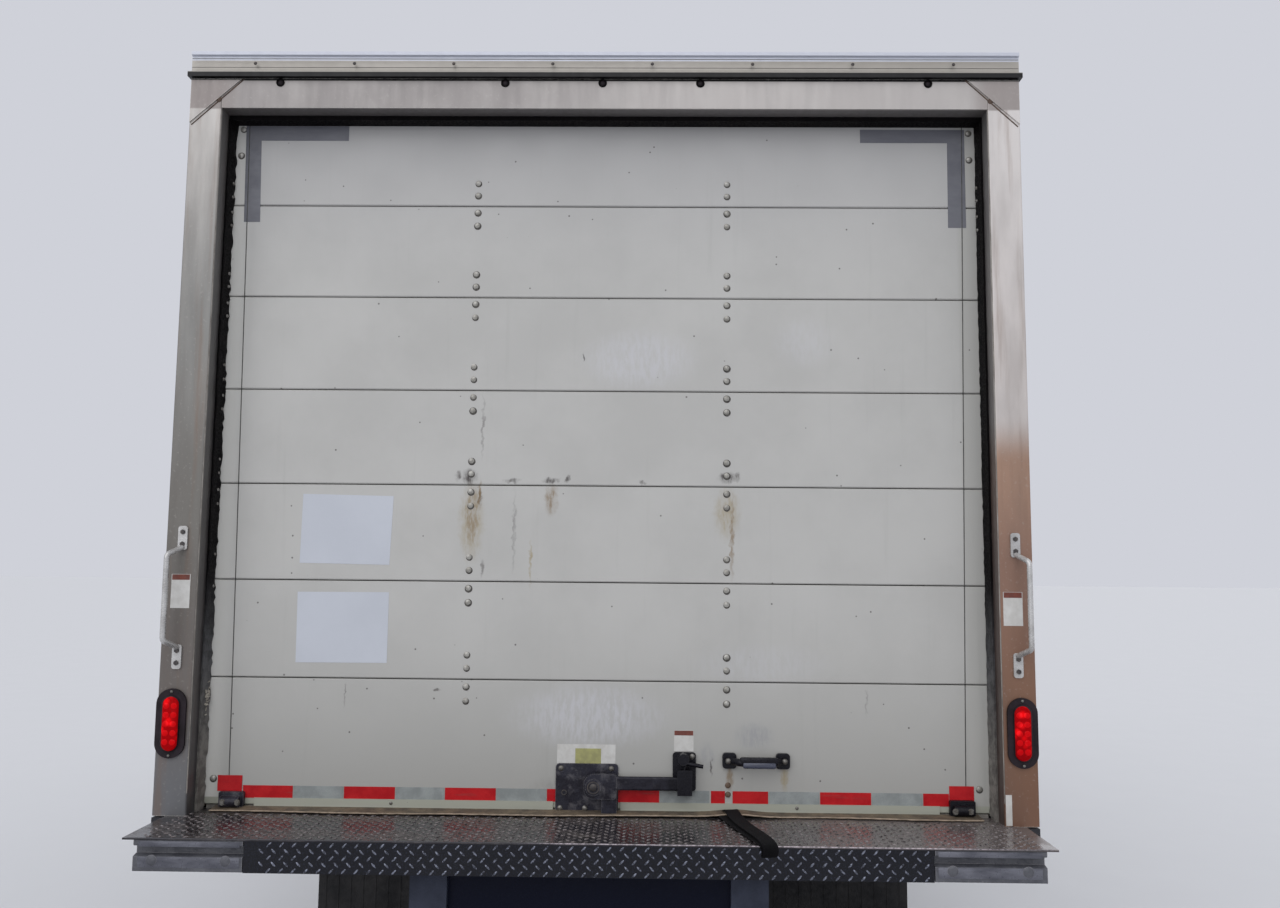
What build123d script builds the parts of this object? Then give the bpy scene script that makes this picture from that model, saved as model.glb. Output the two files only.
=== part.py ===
"""Conventional-cab box truck with a roll-up rear door, as separate pieces.

Frame: +X forward, +Y to the truck's left, +Z up, millimetres. The origin is on the ground, midway
between the ends and on the centre plane. Every piece is written to parts/NODE.step.
"""

import math
import os

from build123d import *

# Overall places along the truck
LENGTH = 9800.0
TAIL_X = -LENGTH / 2
FRONT_X = LENGTH / 2
STEP_DEPTH = 255.0
REAR_X = TAIL_X + STEP_DEPTH
BODY_LENGTH = 6706.0
NOSE_X = REAR_X + BODY_LENGTH
CAB_BACK_X = 2200.0
FRONT_AXLE_X = 3800.0
REAR_AXLE_X = REAR_X + 2290.0

# Heights
AXLE_Z = 465.0
FRAME_TOP = 940.0
FRAME_BOTTOM = 686.0
SILL_TOP = 980.0
DECK_BOTTOM = 1080.0
FLOOR_Z = 1115.0
POST_TOP = FLOOR_Z + 2256.0
HEADER_BOTTOM = FLOOR_Z + 2160.0
HEADER_LAMP_Z = POST_TOP - 16.0
BODY_TOP = FLOOR_Z + 2342.0

# Load body
BODY_HALF = 1295.5
WALL = 38.0
WALL_FACE = 1290.0
POST_WIDTH = 100.5
POST_DEPTH = 110.0
OPENING_HALF = BODY_HALF - POST_WIDTH
RAIL_TOP = 1150.0
RAIL_BOTTOM = 975.0
COVE_BOTTOM = 3375.0
CORNER_X = NOSE_X - 120.0

# Rear step
STEP_HALF = 1256.0
LIP_HALF = 925.0
LIP_HEIGHT = 88.0
STEP_END_HALF = 1225.0
STEP_GAUGE = 5.0

# Roll-up door
DOOR_FACE_X = REAR_X + POST_DEPTH
DOOR_THICK = 25.0
DOOR_HALF = 1192.0
DOOR_BOTTOM = FLOOR_Z + 12.0
THRESHOLD_X = DOOR_FACE_X + 32.0
FIRST_SEAM = FLOOR_Z + 393.0
PANEL_PITCH = 298.0
PANELS = 7
PANEL_GAP = 3.0
PANEL_EASE = 3.0
BOTTOM_BAR_HEIGHT = 18.0
SEAL_OUT = 50.0
SEAL_BITE = 1.0

# Frame rails
RAIL_Y = 432.0
RAIL_FLANGE = 76.0
RAIL_GAUGE = 8.0
RAIL_FRONT_X = 4640.0
MEMBER_DROP = 20.0
MEMBER_HEIGHT = 170.0
RAIL_BACK_X = REAR_X + 60.0

# Springs
FRONT_SEAT_Z = 470.0
REAR_SEAT_Z = 548.0
SPRING_HALF = 640.0
SEAT_HALF = 75.0

# Wheels
TYRE_R = 465.0
TYRE_HALF = 127.5
TYRE_SIDES = 40
RIM_R = 286.0
RIM_HALF = 105.0
OUTSET = 150.0
FRONT_TYRE_Y = 985.0
DUAL_PLANE_Y = 925.0
KINGPIN_Y = 850.0
SPINDLE_R = 35.0
KINGPIN_R = 22.0
SPINDLE_FIT = 0.06
ROD_X = FRONT_AXLE_X - 185.0
ROD_Z = AXLE_Z - 73.0
FLAP_X = REAR_X + 1523.0

# Cab
CAB_WALL = 55.0
CAB_FLOOR_Z = 960.0
CAB_HALF = 1030.0
CAB_ROOF_Z = 2370.0
COWL_X = 3475.0
COWL_Z = 1590.0
GLASS_INSET = 18.0
GLASS_THICK = 6.0
DOOR_GAP = 8.0
DOOR_BACK_GAP = 16.0
DOOR_BACK_X = 2300.0
DOOR_FRONT_X = 3150.0
HINGE_X = 3154.0
HINGE_Y = 1049.0
HINGE_R = 13.0
WHEEL_HUB = (3030.0, 430.0, 1500.0)
COLUMN_DIR = Vector(0.86, 0.0, -0.51).normalized()
STUB_LENGTH = 45.0

# Hood
HOOD_SKIN = 28.0
HOOD_BOTTOM = 745.0
HOOD_FRONT = 4805.0
HOOD_BACK = 3490.0
FENDER_HALF = 1190.0
FENDER_BACK = 3192.0
ARCH_R = 592.0
PIVOT_X = 4740.0
PIVOT_Z = 775.0
PIVOT_R = 12.0
GRILLE_LOW = 860.0
GRILLE_HIGH = 1265.0
GRILLE_HALF = 560.0
GRILLE_BARS = 6
GRILLE_FRAME = 28.0

made = {}


def outline(points, radii=0.0):
    """Closed flat outline through the points, each corner rounded by its own radius."""
    return make_face(FilletPolyline(*points, radius=radii, close=True))


def along_x(face, x0, x1):
    """A face drawn in (y, z), run from x0 to x1."""
    return extrude(Plane.YZ.offset(x0) * face, x1 - x0)


def along_y(face, y0, y1):
    """A face drawn in (x, z), run from y0 to y1."""
    return extrude(Plane.XZ.offset(-y1) * face, y1 - y0)


def along_z(face, z0, z1):
    """A face drawn in (x, y), run from z0 to z1."""
    return extrude(Plane.XY.offset(z0) * face, z1 - z0)


def block(x0, x1, y0, y1, z0, z1):
    """A plain box between two corners."""
    return Pos((x0 + x1) / 2, (y0 + y1) / 2, (z0 + z1) / 2) * Box(x1 - x0, y1 - y0, z1 - z0)


def rod(start, end, radius):
    """A round bar between two points."""
    line = Vector(*end) - Vector(*start)
    return extrude(Plane(origin=start, z_dir=line) * Circle(radius), line.length)


def disc_y(x, y0, y1, z, radius):
    """A cylinder whose axis runs along Y."""
    return rod((x, y0, z), (x, y1, z), radius)


def flip(shape):
    """The same shape on the other side of the centre plane."""
    return mirror(shape, about=Plane.XZ)


def pair(shape):
    """A shape and its mirror image, as two solids."""
    return shape + flip(shape)


def channel(width, height, gauge):
    """C section, open towards -x, with its back on x = width and its middle height at 0."""
    outer = Pos(width / 2, 0) * Rectangle(width, height)
    inner = Pos((width - gauge) / 2, 0) * Rectangle(width - gauge, height - 2 * gauge)
    return outer - inner


def save(node, shape):
    """Writes one piece and keeps it for the pieces that seat on it."""
    made[node] = shape
    export_step(shape, f"parts/{node}.step")


# Chassis


def chassis_frame():
    """Two channel rails joined by channel crossmembers."""
    half_height = (FRAME_TOP - FRAME_BOTTOM) / 2
    middle = FRAME_BOTTOM + half_height
    section = Pos(RAIL_Y - RAIL_FLANGE, middle) * channel(RAIL_FLANGE, 2 * half_height, RAIL_GAUGE)
    frame = pair(along_x(section, RAIL_BACK_X, RAIL_FRONT_X))
    member_x = (4560.0, 2560.0, 1700.0, 300.0, -1100.0, -1900.0, -2900.0, -4500.0)
    member_height = MEMBER_HEIGHT
    member_flange = 60.0
    reach = RAIL_Y - RAIL_GAUGE / 2
    member_z = FRAME_TOP - MEMBER_DROP - member_height / 2
    for x in member_x:
        member = Pos(x, member_z) * channel(member_flange, member_height, RAIL_GAUGE)
        frame += along_y(member, -reach, reach)
    cab_mount_x, mount_length = (2330.0, 3080.0), 80.0
    for x in cab_mount_x:
        frame += pair(block(x, x + mount_length, 372, 428, FRAME_TOP, CAB_FLOOR_Z))
    return frame + hood_hinges()


def leaf_spring(x, seat_z, half_length, rise, leaves):
    """A leaf pack curved up at its ends, with its hangers, in line with the rail."""
    leaf_thick = 14.0
    y0 = RAIL_Y - RAIL_FLANGE
    bow_r = (half_length**2 + rise**2) / (2 * rise)
    pack = None
    for leaf in range(leaves):
        reach = half_length * (1 - 0.16 * (leaves - 1 - leaf))
        low = seat_z + leaf * leaf_thick
        centre = Pos(x, low + bow_r)
        ring = centre * Circle(bow_r) - centre * Circle(bow_r - leaf_thick)
        leaf_face = ring & Pos(x, low + half_length / 2) * Rectangle(2 * reach, half_length)
        solid = along_y(leaf_face, y0, RAIL_Y)
        pack = solid if pack is None else pack + solid
    top_z = seat_z + leaves * leaf_thick
    eye_z = top_z + rise - leaf_thick / 2
    eye_r = 32.0
    for side in (-1, 1):
        eye_x = x + side * half_length
        pack += disc_y(eye_x, y0, RAIL_Y, eye_z, eye_r)
        pack += block(eye_x - eye_r, eye_x + eye_r, y0, RAIL_Y, eye_z, FRAME_BOTTOM)
    clamp_half = 90.0
    pack += block(x - clamp_half, x + clamp_half, y0 - 8, RAIL_Y + 8, top_z - 4, top_z + 22)
    return pack


def front_springs():
    """Front leaf packs."""
    return pair(leaf_spring(FRONT_AXLE_X, FRONT_SEAT_Z, SPRING_HALF, rise=55.0, leaves=4))


def rear_springs():
    """Rear leaf packs."""
    return pair(leaf_spring(REAR_AXLE_X, REAR_SEAT_Z, SPRING_HALF, rise=30.0, leaves=5))


def spring_seat(x, low, high):
    """Flat pad under a leaf pack."""
    lap = 4.0
    return block(x - SEAT_HALF, x + SEAT_HALF, RAIL_Y - RAIL_FLANGE - lap, RAIL_Y + lap, low, high)


def front_axle():
    """Dropped I-beam with a spring seat each side and a boss for each kingpin."""
    beam_half_height = 48.0
    drop = 62.0
    path = ((0.0, AXLE_Z - drop), (520.0, AXLE_Z - drop), (720.0, AXLE_Z), (KINGPIN_Y - 30, AXLE_Z))
    top = [(y, z + beam_half_height) for y, z in path]
    bottom = [(y, z - beam_half_height) for y, z in reversed(path)]
    radii = [0, 120, 120, 0, 0, 120, 120, 0]
    beam_half, web_half, flange_thick = 44.0, 18.0, 16.0
    back, front = FRONT_AXLE_X - beam_half, FRONT_AXLE_X + beam_half
    side = along_x(outline(top + bottom, radii), back, front)
    narrow_top = [(y, z + beam_half_height - flange_thick) for y, z in path[:3]]
    narrow_bottom = [(y, z - beam_half_height + flange_thick) for y, z in reversed(path[:3])]
    hollow = outline(narrow_top + narrow_bottom, [0, 110, 0, 0, 110, 0])
    side -= along_x(hollow, FRONT_AXLE_X + web_half, front + flange_thick)
    side -= along_x(hollow, back - flange_thick, FRONT_AXLE_X - web_half)
    boss_r, boss_height = 50.0, 100.0
    side += Pos(FRONT_AXLE_X, KINGPIN_Y, AXLE_Z) * Cylinder(boss_r, boss_height)
    side += spring_seat(FRONT_AXLE_X, 440.0, FRONT_SEAT_Z)
    side -= Pos(FRONT_AXLE_X, KINGPIN_Y, AXLE_Z) * Cylinder(KINGPIN_R + SPINDLE_FIT, 3 * boss_height)
    return side + flip(side)


def rear_axle():
    """Banjo housing with tapered arms, pinion nose and a spindle at each end."""
    x = REAR_AXLE_X
    bowl_r, bowl_half = 205.0, 100.0
    arm_face = outline(
        [
            (0, 0),
            (0, bowl_half + 45),
            (230, 78),
            (560, 70),
            (560, 95),
            (600, 95),
            (600, 60),
            (640, 60),
            (640, 0),
        ]
    )
    axle_line = Axis((x, 0, AXLE_Z), (0, 1, 0))
    arm = revolve(Plane(origin=(x, 0, AXLE_Z), x_dir=(0, 1, 0), z_dir=(1, 0, 0)) * arm_face, axle_line)
    arm += disc_y(x, 630, 1085, AXLE_Z, SPINDLE_R)
    bowl = Pos(x, 0, AXLE_Z) * Rot(0, 90, 0) * Cylinder(bowl_r, 2 * bowl_half)
    bowl = chamfer(bowl.edges().filter_by(GeomType.CIRCLE), 45)
    nose = rod((x + 60, 0, AXLE_Z + 10), (x + 330, 0, AXLE_Z + 25), 85)
    nose += rod((x + 310, 0, AXLE_Z + 30), (x + 372, 0, AXLE_Z + 30), 62)
    return bowl + nose + pair(arm + spring_seat(x, AXLE_Z, REAR_SEAT_Z))


def driveshaft():
    """Two tubes with a centre bearing hung from a crossmember, and a joint at each end."""
    front_z, middle_z, rear_z = 700.0, 655.0, AXLE_Z + 30
    middle_x = 330.0
    gearbox_x, pinion_x = 2752.0, REAR_AXLE_X + 372.0
    tube_r = 48.0
    shaft = rod((gearbox_x - 90, 0, front_z), (middle_x, 0, middle_z), tube_r)
    shaft += rod((gearbox_x, 0, front_z), (gearbox_x - 110, 0, front_z), 62)
    shaft += rod((middle_x, 0, middle_z), (pinion_x + 90, 0, rear_z), tube_r)
    shaft += rod((pinion_x + 110, 0, rear_z), (pinion_x, 0, rear_z), 60)
    shaft += rod((middle_x - 55, 0, middle_z), (middle_x + 55, 0, middle_z), 78)
    member_bottom = FRAME_TOP - MEMBER_DROP - MEMBER_HEIGHT
    shaft += block(middle_x - 28, middle_x + 28, -110, 110, middle_z, member_bottom)
    return shaft


def engine():
    """Engine and gearbox as plain castings at their real place and size."""
    casting = along_y(
        outline(
            [
                (3530, 700),
                (3650, 560),
                (4100, 560),
                (4160, 660),
                (4380, 680),
                (4380, 1150),
                (4300, 1270),
                (3530, 1270),
            ],
            [20, 40, 40, 20, 30, 40, 40, 30],
        ),
        -270,
        270,
    )
    bell = rod((3540, 0, 780), (3340, 0, 750), 235)
    bell &= block(3300, 3560, -300, 300, 500, 930)
    gearbox = rod((3360, 0, 735), (2900, 0, 715), 150)
    output = rod((2920, 0, 700), (2752, 0, 700), 80)
    mounts = pair(block(3900, 3980, 260, RAIL_Y - RAIL_GAUGE, 800, 850))
    return casting + bell + gearbox + output + mounts


def radiator():
    """Finned core between two tanks, seen through the grille, with its feet on the hinge plates."""
    x0, x1 = 4655.0, 4712.0
    core = block(x0, x1, -400, 400, 800, 1230)
    for z in (772, 1215):
        core += block(x0 - 12, x1 + 10, -420, 420, z, z + 60)
    fins, fin_cut, finned_half = 14, 7.0, 378.0
    fin_pitch = 2 * finned_half / fins
    for column in range(fins):
        y = -finned_half + column * fin_pitch
        core -= block(x1 - fin_cut, x1 + 1, y, y + fin_pitch * 0.6, 845, 1200)
    return core + pair(block(x0 - 12, x1 - 12, 400, RAIL_Y, 772, 800))


def fuel_tank():
    """Round tank on the left rail, with two bands and its brackets."""
    tank_r, y, z = 285.0, 724.0, 655.0
    x0, x1 = 2260.0, 3060.0
    tank = rod((x0, y, z), (x1, y, z), tank_r)
    tank = chamfer(tank.edges().filter_by(GeomType.CIRCLE), 30)
    for x in (2400.0, 2860.0):
        band = Plane(origin=(x, y, z), z_dir=(1, 0, 0))
        tank += extrude(band * (Circle(tank_r + 6) - Circle(tank_r - 4)), 60)
        tank += block(x, x + 60, RAIL_Y, 520, 690, 925)
    tank += rod((2720, y, z + tank_r - 15), (2720, y, z + tank_r + 14), 48)
    return tank


def battery_box():
    """Battery box on the right rail, with a ribbed cover."""
    x0, x1 = 2420.0, 3060.0
    box = block(x0, x1, -960, -RAIL_Y, 440, 860)
    box = fillet(box.edges().filter_by(Axis.X), 30)
    lid = outline([(-972, 700), (-440, 700), (-440, 885), (-972, 885)], [8, 8, 30, 45])
    box += along_x(lid, x0 - 12, x1 + 12)
    for x in (2500.0, 2735.0, 2960.0):
        box += block(x, x + 26, -978, -500, 460, 892)
    return box


def cab_steps():
    """Two treads and their hangers below each door."""
    x0, x1, thick, nosing = 2450.0, 3050.0, 32.0, 24.0
    slots, slot_pitch, slot_length = 9, 62.0, 34.0
    hanger_face = outline(
        [
            (1022, 430),
            (1175, 430),
            (1175, 475),
            (1150, 722),
            (1060, 740),
            (1008, 960),
            (975, 960),
            (975, 880),
            (1022, 700),
        ]
    )
    hanger_thick = 12.0
    steps = along_x(hanger_face, x0, x0 + hanger_thick) + along_x(hanger_face, x1 - hanger_thick, x1)
    for z, y0, y1 in ((430.0, 1024.0, 1175.0), (690.0, 1034.0, 1150.0)):
        tread = block(x0, x1, y0, y1, z, z + thick)
        tread += block(x0, x1, y1 - 6, y1, z - nosing, z + thick)
        for slot in range(slots):
            x = x0 + 30 + slot * slot_pitch
            tread -= block(x, x + slot_length, y0 + 25, y1 - 25, z - 1, z + thick + 1)
        steps += tread
    return pair(steps)


def mitred_pipe(path, radius):
    """A pipe whose bends are cut and welded from straight lengths."""
    section = Plane(origin=path @ 0, z_dir=path % 0) * Circle(radius)
    return sweep(section, path, transition=Transition.RIGHT)


def exhaust():
    """Pipe from the engine to a canister on the right rail and out behind the cab."""
    can_y, can_z = -640.0, 700.0
    can = rod((1050, can_y, can_z), (2080, can_y, can_z), 165)
    system = chamfer(can.edges().filter_by(GeomType.CIRCLE), 22)
    for x in (1200.0, 1880.0):
        system += block(x, x + 50, -560, -RAIL_Y, 760, 900)
    pipe_y, pipe_z, low_z = -500.0, 628.0, 385.0
    inlet_run = Polyline(
        (3700, -270, pipe_z),
        (3700, -360, pipe_z),
        (3640, pipe_y + 40, pipe_z),
        (3540, pipe_y, pipe_z - 10),
        (3100, pipe_y, low_z),
        (2400, pipe_y, low_z),
        (2290, pipe_y - 20, low_z + 60),
        (2190, can_y + 30, can_z - 50),
        (2130, can_y, can_z),
        (2060, can_y, can_z),
    )
    inlet = mitred_pipe(inlet_run, 45)
    tail_run = Polyline(
        (1060, can_y, can_z),
        (740, can_y, can_z),
        (660, can_y - 60, can_z - 10),
        (420, -1120, 640),
    )
    return system + mitred_pipe(tail_run, 50) + inlet


def bumper_plan(back_x, corner_x, inset, front_half, turns):
    """The bumper seen from above, wrapped round both corners."""
    half, front = FENDER_HALF - inset, FRONT_X - inset
    right = [(back_x, -half), (corner_x, -half), (front, -front_half)]
    left = [(x, -y) for x, y in reversed(right)]
    return outline(right + left, [0, *turns, *reversed(turns), 0])


def front_bumper():
    """Wrapped steel bumper on two rail brackets, with a towing eye plate under each."""
    z0, z1 = 420.0, 715.0
    plan = bumper_plan(4540.0, 4800.0, 0.0, 930.0, [110, 260])
    inner = bumper_plan(4500.0, 4793.0, 10.0, 926.0, [102, 250])
    bumper = along_z(plan, z0, z1) - along_z(inner, z0 - 5, z1 + 5)
    groove_z, groove_height, groove_depth = 560.0, 14.0, 5.0
    kept = along_z(offset(plan, -groove_depth), groove_z - 5, groove_z + groove_height + 5)
    bumper -= along_z(plan, groove_z, groove_z + groove_height) - kept
    eye_y, eye_thick = RAIL_Y + 14, 25.0
    bracket = block(4560, FRONT_X - 8, RAIL_Y, eye_y, 500, 690)
    eye_face = outline(
        [(4640, 500), (4640, 400), (4700, 330), (4800, 330), (4860, 400), (4860, 500)],
        [0, 30, 40, 40, 30, 0],
    )
    eye = along_y(eye_face, eye_y, eye_y + eye_thick)
    eye -= disc_y(4750, eye_y - 5, eye_y + eye_thick + 5, 385, 20)
    return bumper + pair(bracket + eye)


# Load body


def body_form(inset, bottom):
    """The load body's outer form, or its inside at a given inset."""
    half = WALL_FACE - inset
    front = NOSE_X - inset
    plan = outline(
        [(DOOR_FACE_X, -half), (front, -half), (front, half), (DOOR_FACE_X, half)],
        [0, 110 - inset, 110 - inset, 0],
    )
    top = BODY_TOP - inset
    turn = 60 - inset
    section = outline([(-half, bottom), (-half, top), (half, top), (half, bottom)], [0, turn, turn, 0])
    back = DOOR_FACE_X
    side = outline([(back, bottom), (back, top), (front, top), (front, bottom)], [0, 0, turn, 0])
    form = along_z(plan, bottom, top) & along_x(section, DOOR_FACE_X, front)
    return form & along_y(side, -half, half)


def load_body():
    """Side walls, front wall, roof and corner rails cut from one shell."""
    shell = body_form(0, RAIL_TOP) - body_form(WALL, RAIL_TOP - 10)
    far = 3000.0
    nose = block(CORNER_X, far, -far, far, 0, COVE_BOTTOM)
    save("body_front_wall", shell & nose)
    save("body_side_left", shell & block(DOOR_FACE_X, CORNER_X, 0, far, 0, COVE_BOTTOM))
    save("body_side_right", shell & block(DOOR_FACE_X, CORNER_X, -far, 0, 0, COVE_BOTTOM))
    roof = shell & block(DOOR_FACE_X, far, -far, far, COVE_BOTTOM, far + BODY_TOP)
    bow_pitch = 610.0
    bow_top = BODY_TOP - WALL
    x = DOOR_FACE_X + bow_pitch
    while x < CORNER_X - 100:
        roof += block(x, x + 40, -1230, 1230, bow_top - 32, bow_top)
        x += bow_pitch
    save("body_roof", roof)


def bottom_rails():
    """Lower rail along each side and across the nose, stepped under the wall panel."""
    face = outline(
        [
            (1245, RAIL_BOTTOM),
            (BODY_HALF, RAIL_BOTTOM),
            (BODY_HALF, RAIL_TOP - 20),
            (WALL_FACE, RAIL_TOP - 12),
            (WALL_FACE, RAIL_TOP),
            (1252, RAIL_TOP),
            (1252, RAIL_BOTTOM + 20),
            (1245, RAIL_BOTTOM + 20),
        ]
    )
    rails = pair(along_x(face, DOOR_FACE_X, CORNER_X))
    outer = outline(
        [(CORNER_X, -BODY_HALF), (NOSE_X + 5, -BODY_HALF), (NOSE_X + 5, BODY_HALF), (CORNER_X, BODY_HALF)],
        [0, 115, 115, 0],
    )
    front = NOSE_X - WALL
    inner = outline([(CORNER_X, -1252), (front, -1252), (front, 1252), (CORNER_X, 1252)], [0, 70, 70, 0])
    nose = along_z(outer, RAIL_BOTTOM, RAIL_TOP) - along_z(inner, RAIL_BOTTOM - 5, RAIL_TOP + 5)
    return rails + nose


def body_subframe():
    """Long sills on the rails, cross sills, rear sill and the mud flap hangers, welded together."""
    sill_half_width = RAIL_FLANGE
    frame = pair(block(DOOR_FACE_X, NOSE_X - 60, RAIL_Y - sill_half_width, RAIL_Y, FRAME_TOP, SILL_TOP))
    height = DECK_BOTTOM - SILL_TOP
    reach = 1244.0
    count = 16
    first = DOOR_FACE_X + 230.0
    pitch = (NOSE_X - 170.0 - first) / (count - 1)
    for index in range(count):
        section = Pos(first + index * pitch, SILL_TOP + height / 2) * channel(45, height, 5)
        frame += along_y(section, -reach, reach)
    frame += block(REAR_X, DOOR_FACE_X, -BODY_HALF, BODY_HALF, RAIL_BOTTOM, 1110)
    frame += block(DOOR_FACE_X, THRESHOLD_X, -1244, 1244, DECK_BOTTOM, FLOOR_Z)
    frame += pair(block(DOOR_FACE_X, first + 1, RAIL_Y - sill_half_width, RAIL_Y, SILL_TOP, SILL_TOP + 60))
    hanger_top, gauge, hanger_end = 1000.0, 6.0, 1235.0
    hanger = block(FLAP_X, FLAP_X + gauge, RAIL_Y, hanger_end, 890, hanger_top)
    hanger += block(FLAP_X, FLAP_X + 50, RAIL_Y, hanger_end, hanger_top - gauge, hanger_top)
    nearest = first + round((FLAP_X - first) / pitch) * pitch
    strut_back, strut_front = min(FLAP_X, nearest), max(FLAP_X + 50, nearest + 45)
    for y in (700.0, 1100.0):
        hanger += block(strut_back, strut_front, y, y + 30, hanger_top - gauge, hanger_top)
    return frame + pair(hanger)


def body_floor():
    """Deck between the walls, from the door's threshold to the front wall."""
    front = NOSE_X - 38
    back = THRESHOLD_X
    plan = outline([(back, -1244), (front, -1244), (front, 1244), (back, 1244)], [0, 75, 75, 0])
    return along_z(plan, DECK_BOTTOM, FLOOR_Z)


def rear_frame():
    """Welded doorway: two folded posts with gussets, and the header box with its lamp holes."""
    gauge, plate, fold_r = 4.0, 6.0, 5.0
    inside, inside_half = REAR_X + gauge, OPENING_HALF - gauge
    post = block(REAR_X, DOOR_FACE_X, OPENING_HALF, BODY_HALF, FLOOR_Z, POST_TOP)
    y0, y1 = OPENING_HALF + gauge, BODY_HALF - gauge
    post -= block(inside, DOOR_FACE_X + 1, y0, y1, FLOOR_Z + plate, POST_TOP - plate)
    post = fillet(post.edges().filter_by(Axis.Z).sort_by(Axis.X)[0:2], fold_r)
    edge_y, edge_z = BODY_HALF - 2, POST_TOP - gauge
    gusset_face = outline([(BODY_HALF - 160, edge_z), (edge_y, edge_z), (edge_y, POST_TOP - 145)])
    gusset = along_x(gusset_face, REAR_X - gauge, REAR_X)
    header = block(REAR_X, DOOR_FACE_X, -OPENING_HALF, OPENING_HALF, HEADER_BOTTOM, POST_TOP)
    z0, z1 = HEADER_BOTTOM + gauge, POST_TOP - gauge
    header -= block(inside, DOOR_FACE_X + 1, -inside_half, inside_half, z0, z1)
    lamp_y, lamp_r = (1015.0, 308.0, 0.0, -308.0, -1015.0), 11.0
    for y in lamp_y:
        header -= rod((REAR_X - 1, y, HEADER_LAMP_Z), (inside + 1, y, HEADER_LAMP_Z), lamp_r)
    return pair(post + gusset) + header


def rear_cap():
    """Drip rail and roof edge moulding across the top of the rear frame."""
    section = outline(
        [
            (DOOR_FACE_X, POST_TOP),
            (REAR_X - 16, POST_TOP),
            (REAR_X - 16, POST_TOP + 16),
            (REAR_X, POST_TOP + 24),
            (REAR_X, BODY_TOP - 14),
            (REAR_X - 8, BODY_TOP - 12),
            (REAR_X - 8, BODY_TOP),
            (DOOR_FACE_X, BODY_TOP),
        ],
        [0, 4, 4, 0, 0, 0, 3, 0],
    )
    cap = along_y(section, -BODY_HALF, BODY_HALF)
    lip = block(REAR_X - 16, DOOR_FACE_X, -BODY_HALF - 6, BODY_HALF + 6, POST_TOP, POST_TOP + 16)
    return cap + lip


def door_panel(index):
    """One slat of the roll-up door, its long outer edges eased; the lowest carries a bottom bar."""
    low = FIRST_SEAM + (index - 1) * PANEL_PITCH if index else DOOR_BOTTOM
    high = FIRST_SEAM + index * PANEL_PITCH - PANEL_GAP
    back = DOOR_FACE_X + DOOR_THICK
    eased = DOOR_FACE_X + PANEL_EASE
    section = outline(
        [
            (DOOR_FACE_X, low + PANEL_EASE),
            (eased, low),
            (back, low),
            (back, high),
            (eased, high),
            (DOOR_FACE_X, high - PANEL_EASE),
        ]
    )
    panel = along_y(section, -DOOR_HALF, DOOR_HALF)
    if index == 0:
        bar_low, bar_out = low + PANEL_EASE, 5.0
        for y0, y1 in ((-1034.0, -76.0), (127.0, 1034.0)):
            panel += block(DOOR_FACE_X - bar_out, eased, y0, y1, bar_low, bar_low + BOTTOM_BAR_HEIGHT)
    return panel


def door_seals():
    """Rubber strips down both jambs and along the header, lapping onto the door's face."""
    back, front = DOOR_FACE_X - SEAL_OUT, DOOR_FACE_X - SEAL_BITE
    side_width, top_height, foot_gap = 8.0, 14.0, 2.0
    upright = block(back, front, OPENING_HALF - side_width, OPENING_HALF, FLOOR_Z, HEADER_BOTTOM)
    top = block(back, front, -OPENING_HALF, OPENING_HALF, HEADER_BOTTOM - top_height, HEADER_BOTTOM)
    foot = block(DOOR_FACE_X, DOOR_FACE_X + 18, -1180, 1180, FLOOR_Z, DOOR_BOTTOM - foot_gap)
    return pair(upright) + top + foot


def door_latch():
    """Slam lock plate with its pivoting bar, the hook that drops behind the step, and the keeper."""
    face = DOOR_FACE_X
    pivot_y, pivot_z = 4.0, FLOOR_Z + 83
    keeper_y0, keeper_y1 = -303.0, -233.0
    plate = block(face - 6, face, -69, 120, FLOOR_Z + 4, FLOOR_Z + 146)
    plate = fillet(plate.edges().filter_by(Axis.X), 12)
    boss = rod((face - 6, pivot_y, pivot_z), (face - 46, pivot_y, pivot_z), 24)
    arm_low, arm_high = FLOOR_Z + 48, FLOOR_Z + 121
    arm_face = outline([(-65, arm_low), (33, arm_low), (33, arm_high), (-65, arm_high)], [10, 30, 30, 10])
    arm = along_x(arm_face, face - 40, face - 16)
    bar = block(face - 38, face - 22, -258, -30, FLOOR_Z + 74, FLOOR_Z + 114)
    bar = fillet(bar.edges().filter_by(Axis.Y), 6)
    hook_low, hook_high = FLOOR_Z + 4, FLOOR_Z + 74
    hook_face = outline([(-66, hook_low), (-20, hook_low), (-20, hook_high), (-66, hook_high)], [6, 6, 0, 0])
    hook = along_x(hook_face, face - 36, face - 26)
    keeper = block(face - 8, face, keeper_y0, keeper_y1, FLOOR_Z + 69, FLOOR_Z + 183)
    keeper = fillet(keeper.edges().filter_by(Axis.X), 10)
    keeper += rod((face - 8, -265, FLOOR_Z + 166), (face - 40, -265, FLOOR_Z + 166), 17)
    cradle_y0, cradle_y1 = keeper_y0 + 12, keeper_y1 - 14
    keeper += block(face - 46, face - 6, cradle_y0, cradle_y1, FLOOR_Z + 62, FLOOR_Z + 74)
    keeper += block(face - 46, face - 39, cradle_y0, cradle_y1, FLOOR_Z + 62, FLOOR_Z + 136)
    keeper += rod((face - 30, -250, FLOOR_Z + 158), (face - 30, -324, FLOOR_Z + 145), 6)
    return plate + boss + arm + bar + hook + keeper


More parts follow.
